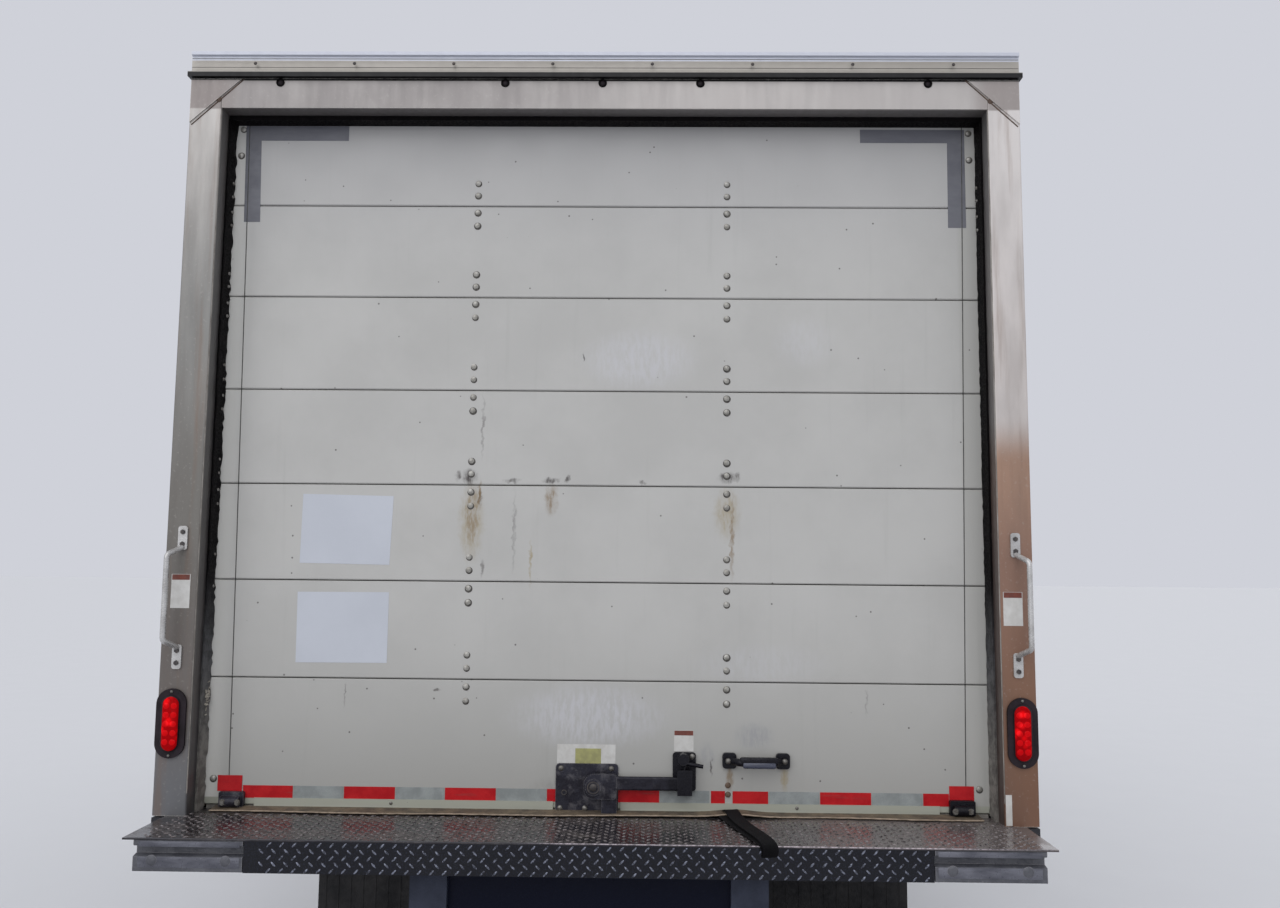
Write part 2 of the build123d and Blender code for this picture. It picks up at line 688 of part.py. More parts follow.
def door_fittings():
    """Lift handle and the two corner buffers of the door."""
    face = DOOR_FACE_X
    z = FLOOR_Z + 160
    foot_left, foot_right = -404.0, -565.0
    handle = None
    for y in (foot_left, foot_right):
        foot = block(face - 12, face, y - 21, y + 21, z - 23, z + 23)
        foot = fillet(foot.edges().filter_by(Axis.X), 10)
        handle = foot if handle is None else handle + foot
    stand_off, root = face - 42, face - 8
    grip = FilletPolyline(
        (root, foot_left, z),
        (stand_off, foot_left - 30, z),
        (stand_off, foot_right + 30, z),
        (root, foot_right, z),
        radius=14,
    )
    handle += sweep(Plane(origin=grip @ 0, z_dir=grip % 0) * Circle(11), grip)
    stop = block(face - 16, face, 1062, 1138, FLOOR_Z + 6, FLOOR_Z + 52)
    stop = fillet(stop.edges().filter_by(Axis.X), 6)
    stop += disc_y(face - 22, 1072, 1128, FLOOR_Z + 24, 16)
    return handle + pair(stop)


def pull_strap():
    """Folded webbing strap that comes from under the door and lies over the step."""
    strap_half, thick, lift = 22.0, 5.0, 0.4
    start_y, lean = -405.0, 10.0
    reach, rise = 352.0, 14.0
    fold = -90.0
    run = outline(
        [
            (0, rise),
            (fold, rise - 2),
            (20 - reach, thick + 1),
            (-reach, thick),
            (-reach, lift),
            (fold, lift + thick),
            (0, lift + thick),
        ]
    )
    laid = along_y(run, -strap_half, strap_half)
    return Pos(DOOR_FACE_X - 4, start_y, FLOOR_Z) * Rot(0, 0, lean) * laid


def grab_handles():
    """Bent bar with a flat foot at each end, on each rear post."""
    y, low, high = 1250.0, FLOOR_Z + 489, FLOOR_Z + 785
    off, bend, bar_r = REAR_X - 52, 22.0, 8.0
    bar = FilletPolyline(
        (REAR_X - 5, y - 6, low),
        (off, y + 18, low + bend),
        (off, y + 18, high - bend),
        (REAR_X - 5, y - 6, high),
        radius=16,
    )
    handle = sweep(Plane(origin=bar @ 0, z_dir=bar % 0) * Circle(bar_r), bar)
    foot_half, foot_offset = 36.0, 28.0
    for z in (low - foot_offset, high + foot_offset):
        foot = block(REAR_X - 6, REAR_X, y - 20, y + 8, z - foot_half, z + foot_half)
        handle += fillet(foot.edges().filter_by(Axis.X), 8)
    return pair(handle)


def slot_prism(y, z, height, width, x0, x1):
    """Upright oblong with round ends, run along X."""
    face = Pos(y, z) * Rot(0, 0, 90) * SlotOverall(height, width)
    return along_x(face, x0, x1)


def tail_lamps():
    """Oval lamp in a flanged ring on each post."""
    y, z = 1251.0, FLOOR_Z + 267
    flange = slot_prism(y, z, 202, 88, REAR_X - 9, REAR_X)
    lens = slot_prism(y, z, 164, 54, REAR_X - 17, REAR_X - 8)
    lens = fillet(lens.edges().group_by(Axis.X)[0], 5)
    return pair(flange + lens)


# Rear step and guard


def step_tread():
    """Bent chequer plate: level with the floor, folded down at the back."""
    under = FLOOR_Z - STEP_GAUGE
    top = block(TAIL_X, DOOR_FACE_X, -STEP_HALF, STEP_HALF, under, FLOOR_Z)
    lip = block(TAIL_X, TAIL_X + STEP_GAUGE, -LIP_HALF, LIP_HALF, FLOOR_Z - LIP_HEIGHT, under)
    return top + lip


def step_ends():
    """Open channel blocks at both ends of the step."""
    z0, z1 = FLOOR_Z - LIP_HEIGHT, FLOOR_Z - STEP_GAUGE
    outside, waist, inner = TAIL_X + 2, TAIL_X + 24, TAIL_X + 100
    face = outline(
        [
            (inner, z0),
            (outside, z0),
            (outside, z0 + 40),
            (waist, z0 + 44),
            (waist, z0 + 62),
            (outside, z0 + 68),
            (outside, z1),
            (inner, z1),
        ],
        [0, 4, 4, 0, 0, 6, 3, 0],
    )
    return pair(along_y(face, LIP_HALF + 3, STEP_END_HALF))


def rear_guard():
    """Uprights on the rail ends, a face plate between them and the low guard bar."""
    x0, x1 = TAIL_X + 90, TAIL_X + 190
    y0, y1 = 391.0, 494.0
    wall, bar_low, bar_size, bar_half = 8.0, 450.0, 100.0, 1150.0
    upright = block(x0, x1, y0, y1, bar_low + 20, FLOOR_Z - STEP_GAUGE)
    upright -= block(x0 + wall, x1 + 1, y0 + wall, y1 - wall, bar_low + bar_size + 10, FLOOR_Z - 20)
    cheek = block(x0 + 6, -4290, RAIL_Y, RAIL_Y + 10, 700, 930)
    guard = pair(upright + cheek)
    guard += block(x0 + 20, x0 + 26, -y0 - 4, y0 + 4, 700, FLOOR_Z - 40)
    back, front, bar_high = x0 - 20, x0 + 80, bar_low + bar_size
    section = outline([(back, bar_low), (front, bar_low), (front, bar_high), (back, bar_high)], 12.0)
    return guard + along_y(section, -bar_half, bar_half)


def mud_flaps():
    """Rubber flaps behind the rear wheels."""
    thick = 10.0
    return pair(block(FLAP_X - thick, FLAP_X, 660, 1250, 235, 972))


def marker_lamps():
    """Small lamps: five on the cab roof, two on the body's top front corners, two on each lower rail."""
    roof_x, roof_y = 2860.0, (-640.0, -180.0, 0.0, 180.0, 640.0)
    lamps = None
    for y in roof_y:
        lamp = Pos(roof_x, y, CAB_ROOF_Z - 2) * Box(110, 62, 50)
        lamp = fillet(lamp.edges().group_by(Axis.Z)[-1], 14)
        lamps = lamp if lamps is None else lamps + lamp
    lamps -= cab_form(0)
    thick, side_length = 14.0, 100.0
    for x in (NOSE_X - 420, REAR_X + 330):
        lamps += pair(block(x, x + side_length, BODY_HALF, BODY_HALF + thick, 1040, 1075))
    lamps += pair(block(NOSE_X, NOSE_X + thick, 1080, 1160, 3250, 3284))
    return lamps


# Cab


def cab_form(inset):
    """The cab's outer form, or its inside at a given inset."""
    bottom, roof = CAB_FLOOR_Z + inset, CAB_ROOF_Z - inset
    back, half = CAB_BACK_X + inset, CAB_HALF - inset
    far_back, overshoot = back - 800.0, 4.0
    nose = COWL_X - inset
    corner_x, corner_y = nose - 45.0, 905.0 - inset
    shoulder_x, shoulder_y = 3215.0 - inset / 2, half + overshoot
    pillar_r, shoulder_r, glass_r = 150.0 - inset, 240.0 - inset, 2600.0
    plan = outline(
        [
            (far_back, -shoulder_y),
            (shoulder_x, -shoulder_y),
            (corner_x, -corner_y),
            (nose, 0),
            (corner_x, corner_y),
            (shoulder_x, shoulder_y),
            (far_back, shoulder_y),
        ],
        [0, shoulder_r, pillar_r, glass_r, pillar_r, shoulder_r, 0],
    )
    rake = Vector(-430, 0, 720)
    slant = rake.length * (roof + 50 - COWL_Z) / rake.Z
    form = along_z(plan, bottom, COWL_Z) + extrude(Plane.XY.offset(COWL_Z) * plan, slant, dir=rake)
    belt_z, lean = 1480.0, 105.0
    section = outline(
        [
            (-half + 22, bottom),
            (-half, belt_z),
            (-half + lean, roof),
            (half - lean, roof),
            (half, belt_z),
            (half - 22, bottom),
        ],
        [0, 300, 170 - inset, 170 - inset, 300, 0],
    )
    form &= along_x(section, back - 100, COWL_X + 100)
    side = outline(
        [
            (back, bottom),
            (3225, bottom),
            (3600, 1290 + inset),
            (3600, COWL_Z + 60),
            (3065 - inset, roof),
            (back, roof - 28),
        ],
        [0, 40, 0, 0, 190, 90 - inset],
    )
    return form & along_y(side, -CAB_HALF, CAB_HALF)


def door_outline(grow):
    """Door edge seen from the side, or the opening around it."""
    edge = outline(
        [(DOOR_BACK_X, 985), (DOOR_FRONT_X, 985), (DOOR_FRONT_X, 1600), (2862, 2215), (DOOR_BACK_X, 2215)],
        [50, 70, 60, 50, 50],
    )
    return offset(edge, grow) if grow else edge


def window_outline():
    """Glass edge in the door."""
    return outline([(2372, 1560), (3072, 1560), (2812, 2140), (2372, 2140)], [45, 45, 60, 60])


def windshield_prism():
    """Sight opening of the windshield, run along X."""
    face = outline([(-865, 1640), (-775, 2235), (775, 2235), (865, 1640)], [80, 90, 90, 80])
    return along_x(face, 2900, 3600)


def rear_window_prism():
    """Sight opening in the cab's back wall."""
    return along_x(outline([(-420, 1600), (-420, 2080), (420, 2080), (420, 1600)], 60.0), 2150, 2300)


def cab():
    """Cab shell with its openings, split at the back pillars and roof, and its fixed glass."""
    shell = cab_form(0) - cab_form(CAB_WALL)
    pane = cab_form(GLASS_INSET) - cab_form(GLASS_INSET + GLASS_THICK)
    far = 1200.0
    window = along_y(window_outline(), 700, far)
    leaf = along_y(door_outline(0), 700, far)
    leaf_hole = along_y(door_outline(DOOR_GAP), 700, far)
    leaf_hole += Pos(DOOR_GAP - DOOR_BACK_GAP, 0, 0) * leaf_hole
    floor_top, floor_edge = CAB_FLOOR_Z + CAB_WALL, 950.0
    leaf -= block(CAB_BACK_X, COWL_X, 0, floor_edge + 5, 900, floor_top + 6)
    leaf_hole -= block(CAB_BACK_X, COWL_X, 0, floor_edge - 3, 900, floor_top)
    rabbet_depth, rabbet_width = 24.0, 14.0
    rabbet = along_y(door_outline(0) - door_outline(-rabbet_width), 700, far) & cab_form(rabbet_depth)
    door = (shell & leaf) - window - rabbet
    barrel_z = (1150.0, 1480.0)
    for z in barrel_z:
        door += Pos(HINGE_X, HINGE_Y, z) * Cylinder(HINGE_R, 70)
        door += block(HINGE_X - 60, HINGE_X - 2, HINGE_Y - 37, HINGE_Y - 4, z - 35, z + 35)
    handle = block(2400, 2540, CAB_HALF - 22, CAB_HALF + 22, 1412, 1450)
    door += fillet(handle.edges().filter_by(Axis.Z).group_by(Axis.Y)[-1], 8)
    glass = pane & window
    save("door_left", door)
    save("door_right", flip(door))
    save("door_glass_left", glass)
    save("door_glass_right", flip(glass))
    save("cab_glass", (pane & windshield_prism()) + (pane & rear_window_prism()))
    arch = disc_y(FRONT_AXLE_X, -1300, 1300, AXLE_Z, ARCH_R + 14)
    body = shell - pair(leaf_hole) - windshield_prism() - rear_window_prism() - arch
    pins = None
    for z in barrel_z:
        for end in (z - 52, z + 52):
            pin = Pos(HINGE_X, HINGE_Y, end) * Cylinder(HINGE_R, 24)
            pin += block(HINGE_X + 2, HINGE_X + 60, HINGE_Y - 63, HINGE_Y - 4, end - 12, end + 12)
            pins = pin if pins is None else pins + pin
    body += pair(pins)
    split_x, split_z = DOOR_BACK_X - DOOR_BACK_GAP, 2215 + DOOR_GAP
    corner = 65.0
    back_region = block(2000, split_x, -far, far, 0, 3000) + block(2000, 3600, -far, far, split_z, 3000)
    back_region += block(2000, split_x + corner, -far, far, split_z - corner, 3000)
    save("cab_rear", body & back_region)
    save("cab_front", body - back_region)


def mirror_left():
    """Tall mirror on a bent tube, carried by the door."""
    x, y = 3040.0, 1240.0
    bend = 40.0
    path = Polyline(
        (x, 985, 2075),
        (x + 20, y - bend, 2075),
        (x + 20, y, 2075 - bend),
        (x + 20, y, 1540 + bend),
        (x + 20, y - bend, 1540),
        (x, 1022, 1540),
    )
    arm = mitred_pipe(path, 13)
    head = Pos(x + 20, y + 40, 1810) * Box(90, 210, 440)
    head = fillet(head.edges().filter_by(Axis.X), 45)
    head = chamfer(head.edges().group_by(Axis.X)[-1], 24)
    head -= Pos(x - 25, y + 40, 1810) * Box(16, 180, 410)
    return (arm + head) - cab_form(0)


def dashboard():
    """Dash moulding below the windshield, with a binnacle in front of the driver."""
    face = outline(
        [(3240, 1200), (3395, 1200), (3395, 1560), (3300, 1575), (3130, 1540), (3110, 1470)],
        [30, 0, 0, 60, 40, 30],
    )
    dash = along_y(face, -830, 830)
    binnacle_face = outline([(3140, 1500), (3330, 1500), (3330, 1600), (3170, 1620)], [0, 0, 20, 30])
    binnacle = along_y(binnacle_face, 250, 610)
    moulding = (dash + binnacle) & cab_form(CAB_WALL)
    shroud_length, shroud_r = 255.0, 40.0
    start = Vector(*WHEEL_HUB) + COLUMN_DIR * (STUB_LENGTH + 1)
    end = start + COLUMN_DIR * shroud_length
    return moulding + rod(tuple(start), tuple(end), shroud_r)


def seats():
    """Driver's seat and a wide passenger seat, each on a pedestal."""
    parts = None
    for y0, y1 in ((190.0, 670.0), (-790.0, -20.0)):
        base = block(2440, 2840, y0 + 60, y1 - 60, CAB_FLOOR_Z + CAB_WALL, 1255)
        cushion = block(2370, 2900, y0, y1, 1250, 1380)
        cushion = fillet(cushion.edges().filter_by(Axis.Y), 40)
        back_face = outline([(2300, 1370), (2460, 1340), (2400, 1960), (2300, 1980)], [20, 30, 40, 30])
        seat = base + cushion + along_y(back_face, y0 + 10, y1 - 10)
        parts = seat if parts is None else parts + seat
    return parts


def steering_wheel():
    """Rim, three spokes and boss, square to the column."""
    plane = Plane(origin=WHEEL_HUB, x_dir=(0, 1, 0), z_dir=-COLUMN_DIR)
    rim_r = 225.0
    upright = Plane(origin=WHEEL_HUB, x_dir=(0, 1, 0), z_dir=plane.y_dir)
    section = upright * Pos(rim_r, 0) * RegularPolygon(15, 8)
    wheel = revolve(section, Axis(WHEEL_HUB, tuple(COLUMN_DIR)))
    wheel += extrude(plane * Circle(52), 18, both=True)
    for angle in (-25, 90, 205):
        wheel += plane.location * Rot(0, 0, angle) * Pos(rim_r / 2, 0, 0) * Box(rim_r - 20, 34, 12)
    tip = Vector(*WHEEL_HUB) + COLUMN_DIR * STUB_LENGTH
    return wheel + rod(WHEEL_HUB, tuple(tip), 26)


# Hood


def hood_form(inset):
    """Hood and fenders as one closed form, or its inside at a given inset."""
    back, front, low = HOOD_BACK, HOOD_FRONT - inset, 600.0
    # place, half width, top and corner radius of each section
    stations = ((back, 800.0, 1625.0, 150.0), (front, 640.0, 1440.0, 130.0))
    sections = []
    for x, section_half, section_top, turn in stations:
        half, top, turn = section_half - inset, section_top - inset, turn - inset
        corners = [(-half, low), (-half, top), (half, top), (half, low)]
        sections.append(Plane.YZ.offset(x) * outline(corners, [0, turn, turn, 0]))
    bonnet = loft(sections, ruled=True)
    nose = outline(
        [(back, low), (front, low), (front, 1285), (front - 190, 1465 - inset), (back, 1700)],
        [0, 0, 120, 260, 0],
    )
    bonnet &= along_y(nose, -900, 900)
    top, half, inner = 1225.0 - inset, FENDER_HALF - inset, 300.0
    side = outline(
        [
            (FENDER_BACK, low),
            (front - 5, low),
            (front - 25, 1090 - inset),
            (4470, top - 15),
            (3800, top),
            (FENDER_BACK, top - 30),
        ],
        [0, 0, 150, 400, 900, 0],
    )
    section = outline([(inner, low), (half, low), (half, top), (inner, top)], [0, 0, 120 - inset, 0])
    plan = outline(
        [(FENDER_BACK, inner), (front, inner), (front, 820), (4600, half), (FENDER_BACK, half)],
        [0, 0, 230, 260, 0],
    )
    pod = along_y(side, inner, half) & along_x(section, FENDER_BACK, front) & along_z(plan, low, 1300)
    return bonnet + pair(pod)


def lamp_outline(grow):
    """Headlamp edge seen from the front."""
    face = outline([(690, 905), (1155, 925), (1155, 1040), (1080, 1085), (690, 1085)], [30, 30, 30, 40, 30])
    return offset(face, grow) if grow else face


def grille_outline(grow):
    """Grille opening seen from the front."""
    low, high, half = GRILLE_LOW - grow, GRILLE_HIGH + grow, GRILLE_HALF + grow
    return outline([(-half, low), (-half, high), (half, high), (half, low)], 50.0 + grow)


def hood():
    """Tilting hood with its fenders, lamps and grille, all cut from one skin."""
    skin = hood_form(0) - hood_form(HOOD_SKIN)
    skin &= block(FENDER_BACK, 4900, -1300, 1300, HOOD_BOTTOM, 1800)
    skin -= pair(disc_y(FRONT_AXLE_X, 480, 1300, AXLE_Z, ARCH_R))
    cab_plan = outline([(3000, -1050), (3230, -1050), (3500, -930), (3500, 930), (3230, 1050), (3000, 1050)])
    skin -= along_z(cab_plan, 0, COWL_Z)
    flare_y, flare_width, flare_out = 1150.0, 34.0, 8.0
    flare = disc_y(FRONT_AXLE_X, flare_y, FENDER_HALF + flare_out, AXLE_Z, ARCH_R + flare_width)
    flare -= disc_y(FRONT_AXLE_X, flare_y - 10, FENDER_HALF + 60, AXLE_Z, ARCH_R)
    flare &= block(FENDER_BACK, 4900, flare_y, FENDER_HALF + 60, HOOD_BOTTOM, 1800)
    lamp_box = pair(along_x(lamp_outline(3), 4350, 4900))
    grille_box = along_x(grille_outline(3), 4600, 4900)
    lamps = skin & pair(along_x(lamp_outline(0), 4350, 4900))
    grille = along_x(grille_outline(0) - grille_outline(-GRILLE_FRAME), HOOD_FRONT - 30, HOOD_FRONT + 6)
    pitch = (GRILLE_HIGH - GRILLE_LOW - 2 * GRILLE_FRAME) / GRILLE_BARS
    back, front, bar_half = HOOD_FRONT - 28, HOOD_FRONT + 2, GRILLE_HALF - 10
    for index in range(GRILLE_BARS):
        z = GRILLE_LOW + GRILLE_FRAME + (index + 0.5) * pitch
        bar = outline([(back, z - 14), (front, z - 20), (front, z + 4), (back, z + 10)], [2, 4, 4, 2])
        grille += along_y(bar, -bar_half, bar_half)
    post_y, post_half = 186.0, 7.0
    for y in (-post_y, post_y):
        y0, y1 = y - post_half, y + post_half
        grille += block(back - 2, front - 8, y0, y1, GRILLE_LOW + 10, GRILLE_HIGH - 10)
    ear_back, ear_front, ear_low = PIVOT_X - 30, 4785.0, PIVOT_Z - 22
    ear_face = outline(
        [(ear_back, ear_low), (ear_front, ear_low), (ear_front, 840), (ear_back, 820)],
        [22, 0, 0, 22],
    )
    ear_inside, ear_outside = 462.0, 480.0
    ear = along_y(ear_face, ear_inside, ear_outside)
    ear -= disc_y(PIVOT_X, ear_inside - 10, ear_outside + 10, PIVOT_Z, PIVOT_R + SPINDLE_FIT)
    save("hood", skin - lamp_box - grille_box + pair(flare) + pair(ear))
    save("headlamps", lamps)
    save("grille", grille)


def hood_hinges():
    """Hinge plates on the rail ends, with the pins that the hood turns on."""
    back, front, low, high = 4560.0, PIVOT_X + 24, 700.0, PIVOT_Z + 24
    corner = RAIL_FRONT_X + 20
    face = outline(
        [(back, low), (corner, low), (front, PIVOT_Z - 20), (front, high), (4700, high), (back, 760)],
        8.0,
    )
    plate = along_y(face, RAIL_Y, RAIL_Y + 14)
    plate += disc_y(PIVOT_X, RAIL_Y + 10, 484, PIVOT_Z, PIVOT_R)
    return pair(plate)


# Wheels and steering


def many_sided(x, stations):
    """A solid run through many-sided sections square to the axle, each given by its y and radius."""
    sections = [
        Plane(origin=(x, y, AXLE_Z), x_dir=(1, 0, 0), z_dir=(0, -1, 0)) * RegularPolygon(radius, TYRE_SIDES)
        for y, radius in stations
    ]
    return loft(sections, ruled=True)


def tyre(x, y):
    """Tyre at rest on the ground, centred at y, in flats that a tread can follow."""
    # distance from the middle and radius
    tread, shoulder, sidewall = (88.0, TYRE_R), (112.0, 446.0), (TYRE_HALF, 400.0)
    half = (tread, shoulder, sidewall)
    bead_half, bead_r, wall_r = 97.0, 302.0, 384.0
    bore_r = (RIM_R + 0.2) / math.cos(math.pi / TYRE_SIDES)
    stations = [(y - w, r) for w, r in reversed(half)] + [(y + w, r) for w, r in half]
    body = many_sided(x, stations)
    for out in (-1, 1):
        body -= many_sided(x, [(y + out * bead_half, bead_r), (y + out * TYRE_HALF, wall_r)])
    return body - many_sided(x, [(y - bead_half - 5, bore_r), (y + bead_half + 5, bore_r)])


def rim(x, y, out):
    """Steel disc wheel centred at y, its mounting face on the side out, with hand holes in a flat land."""
    gauge, well_r, flange_r, flange_y = 10.0, 264.0, 300.0, 106.0
    inside_r = RIM_R - gauge
    barrel = [
        (flange_r, -flange_y),
        (flange_r, 8 - flange_y),
        (RIM_R, 8 - flange_y),
        (RIM_R, -60),
        (well_r, -40),
        (well_r, 30),
        (RIM_R, 52),
        (RIM_R, flange_y - 8),
        (flange_r, flange_y - 8),
        (flange_r, flange_y),
        (inside_r, flange_y),
        (inside_r, 60),
        (well_r - gauge, 36),
        (well_r - gauge, -46),
        (inside_r, -68),
        (inside_r, -flange_y),
    ]
    land, disc_gauge = 118, 12
    dish = [
        (258, 18),
        (258, 30),
        (240, land),
        (186, land),
        (172, OUTSET),
        (100, OUTSET),
        (100, OUTSET - disc_gauge),
        (164, OUTSET - disc_gauge),
        (178, land - disc_gauge),
        (231, land - disc_gauge),
        (246, 18),
    ]
    plane = Plane(origin=(x, y, AXLE_Z), x_dir=(1, 0, 0), z_dir=(0, 0, 1))
    axle = Axis((x, y, AXLE_Z), (0, 1, 0))
    wheel = revolve(plane * outline([(r, w * out) for r, w in barrel]), axle)
    wheel += revolve(plane * outline([(r, w * out) for r, w in dish]), axle)
    holes, hole_ring, hole_r = 5, 211.0, 21.0
    for index in range(holes):
        turn = math.radians(360 * (index + 0.5) / holes)
        hole_x, hole_z = x + hole_ring * math.cos(turn), AXLE_Z + hole_ring * math.sin(turn)
        wheel -= disc_y(hole_x, y + out * 60, y + out * 165, hole_z, hole_r)
    return wheel


def drum(x, inner, outer):
    """Brake drum, open towards the centre plane."""
    drum_r, wall, end = 208.0, 20.0, 14.0
    return disc_y(x, inner, outer, AXLE_Z, drum_r) - disc_y(x, inner - 1, outer - end, AXLE_Z, drum_r - wall)


def hub(x, y_face, y_inner, drum_inner, drum_outer, cap_y):
    """Hub with its drum: a flange on the mounting face, a barrel on the spindle and a cap."""
    body = disc_y(x, y_inner, y_face - 12, AXLE_Z, 98)
    body += disc_y(x, y_face - 30, y_face - 12, AXLE_Z, 150)
    body += disc_y(x, y_face - 14, cap_y - 26, AXLE_Z, 112)
    body += disc_y(x, cap_y - 28, cap_y, AXLE_Z, 74)
    return body + drum(x, drum_inner, drum_outer)


def front_wheel():
    """Left front tyre, and its rim with hub and drum."""
    x, y = FRONT_AXLE_X, FRONT_TYRE_Y
    face = y + OUTSET
    core = hub(x, face, 962, 908, 1050, face + 55)
    core += disc_y(x, 1036, 1050, AXLE_Z, 205)
    core -= disc_y(x, 890, face + 8, AXLE_Z, SPINDLE_R + SPINDLE_FIT)
    return tyre(x, y), rim(x, y, 1) + core


def rear_wheels():
    """Left rear twin tyres, and both rims with hub and drum."""
    x = REAR_AXLE_X
    inner, outer = DUAL_PLANE_Y - OUTSET, DUAL_PLANE_Y + OUTSET
    core = disc_y(x, 700, 1110, AXLE_Z, 90) + disc_y(x, 895, 913, AXLE_Z, 150)
    core += disc_y(x, 1090, 1128, AXLE_Z, 125)
    core += disc_y(x, 905, 945, AXLE_Z, 112)
    core += drum(x, 668, 840)
    core -= disc_y(x, 600, 1095, AXLE_Z, SPINDLE_R + SPINDLE_FIT)
    tyres = tyre(x, inner) + tyre(x, outer)
    rims = rim(x, inner, 1) + rim(x, outer, -1) + core
    return tyres, rims


def knuckle_left():
    """Steering knuckle: fork on the kingpin, spindle, backing plate and track rod arm."""
    x, y, z = FRONT_AXLE_X, KINGPIN_Y, AXLE_Z
    eye_rise, eye_r, eye_height = 73.0, 46.0, 34.0
    body = Pos(x, y, z) * Cylinder(KINGPIN_R, 178)
    body += block(x - eye_r, x + eye_r, y + 58, y + 86, z - 90, z + 90)
    for eye_z in (z - eye_rise, z + eye_rise):
        low = eye_z - eye_height / 2
        body += Pos(x, y, eye_z) * Cylinder(eye_r, eye_height)
        body += block(x - 40, x + 40, y, y + 60, low, low + eye_height)
    body += disc_y(x, y + 80, FRONT_TYRE_Y + OUTSET + 5, z, SPINDLE_R)
    body += disc_y(x, y + 82, y + 94, z, 120)
    end, arm_half = x - 205, 16.0
    arm = outline([(x - 20, y - 30), (x + 10, y + 30), (end, y + 20), (end, y - 20)], [0, 0, 18, 18])
    return body + along_z(arm, ROD_Z - arm_half, ROD_Z + arm_half)


def tie_rod():
    """Track rod between the two knuckle arms, with a ball housing at each end."""
    y = KINGPIN_Y
    z = ROD_Z - 52
    bar = disc_y(ROD_X, -y, y, z, 19)
    end = Pos(ROD_X, y, z) * Cylinder(30, 50)
    end += Pos(ROD_X, y, z + 28.5) * Cylinder(12, 14)
    return bar + pair(end)


def main():
    """Builds every piece and writes it."""
    os.makedirs("parts", exist_ok=True)
    pieces = (
        chassis_frame,
        front_axle,
        front_springs,
        rear_axle,
        rear_springs,
        driveshaft,
        engine,
        radiator,
        fuel_tank,
        battery_box,
        cab_steps,
        exhaust,
        front_bumper,
        bottom_rails,
        body_subframe,
        body_floor,
        rear_frame,
        rear_cap,
        door_seals,
        pull_strap,
        grab_handles,
        tail_lamps,
        step_tread,
        step_ends,
        rear_guard,
        mud_flaps,
        marker_lamps,
        mirror_left,
        dashboard,
        seats,
        steering_wheel,
        knuckle_left,
        tie_rod,
    )
    for make in pieces:
        save(make.__name__, make())
    save("door_hardware", door_latch() + door_fittings())
    save("mirror_right", flip(made["mirror_left"]))
    save("knuckle_right", flip(made["knuckle_left"]))
    save("rear_door", Compound([door_panel(index) for index in range(PANELS)]))
    load_body()
    cab()
    hood()
    for axle, (tyres, rims) in (("front", front_wheel()), ("rear", rear_wheels())):
        save(f"{axle}_tyre_left", tyres)
        save(f"{axle}_rim_left", rims)
        save(f"{axle}_tyre_right", flip(tyres))
        save(f"{axle}_rim_right", flip(rims))


main()
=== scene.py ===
"""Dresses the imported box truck: a finish on each frame node, and the fine pieces that the photo shows."""

import logging
import math
import random
from dataclasses import dataclass
from enum import Enum
from typing import Iterable, Optional, Sequence, Union

import bmesh
import bpy
from mathutils import Matrix, Vector
from mathutils.bvhtree import BVHTree


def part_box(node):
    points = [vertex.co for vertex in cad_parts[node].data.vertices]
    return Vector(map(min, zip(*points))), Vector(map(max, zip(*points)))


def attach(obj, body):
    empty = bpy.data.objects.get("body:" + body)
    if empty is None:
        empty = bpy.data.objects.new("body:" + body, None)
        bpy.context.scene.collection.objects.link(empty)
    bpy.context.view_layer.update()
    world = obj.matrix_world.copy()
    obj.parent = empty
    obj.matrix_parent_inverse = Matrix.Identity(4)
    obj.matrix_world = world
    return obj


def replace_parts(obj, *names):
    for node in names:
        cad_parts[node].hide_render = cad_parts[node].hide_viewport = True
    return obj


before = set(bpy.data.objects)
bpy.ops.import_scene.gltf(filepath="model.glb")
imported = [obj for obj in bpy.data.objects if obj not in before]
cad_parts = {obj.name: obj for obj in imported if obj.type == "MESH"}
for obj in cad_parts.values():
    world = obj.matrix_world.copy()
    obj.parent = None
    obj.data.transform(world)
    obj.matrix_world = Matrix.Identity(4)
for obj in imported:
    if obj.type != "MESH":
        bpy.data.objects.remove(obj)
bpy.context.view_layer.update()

Place = Sequence[float]
Tone = tuple[float, float, float, float]
Socket = bpy.types.NodeSocket
Input = Union[Socket, float, Sequence[float]]
Outline = Sequence[tuple[float, float]]

log = logging.getLogger("box_truck")

# Each finish's material, once it is made
MADE: dict[str, bpy.types.Material] = {}

# Planes of the truck's rear, in metres
DOOR_FACE = -4.535
REAR_FACE = -4.645
TAIL = -4.9
FLOOR = 1.115

# How far the back of a sticker lies inside the face that it is on
SUNK = 0.0003


def tone(red: float, green: float, blue: float) -> Tone:
    """The linear colour of a shade read from a screen.

    Args:
        red: Red from 0 to 255.
        green: Green from 0 to 255.
        blue: Blue from 0 to 255.

    Returns:
        The four linear colour values.
    """
    linear = []
    for value in (red / 255, green / 255, blue / 255):
        linear.append(value / 12.92 if value <= 0.04045 else ((value + 0.055) / 1.055) ** 2.4)
    return (*linear, 1.0)


class Side(Enum):
    """Which side of the truck a piece is on, as the sign of its Y."""

    LEFT = 1
    RIGHT = -1

    @property
    def word(self) -> str:
        """The side's name as it ends a piece's name."""
        return self.name.lower()


class Grain(Enum):
    """The way that a brushed metal's lines run, as the pattern's stretch."""

    UPRIGHT = (1.0, 1.0, 0.03)
    ACROSS = (1.0, 0.03, 1.0)


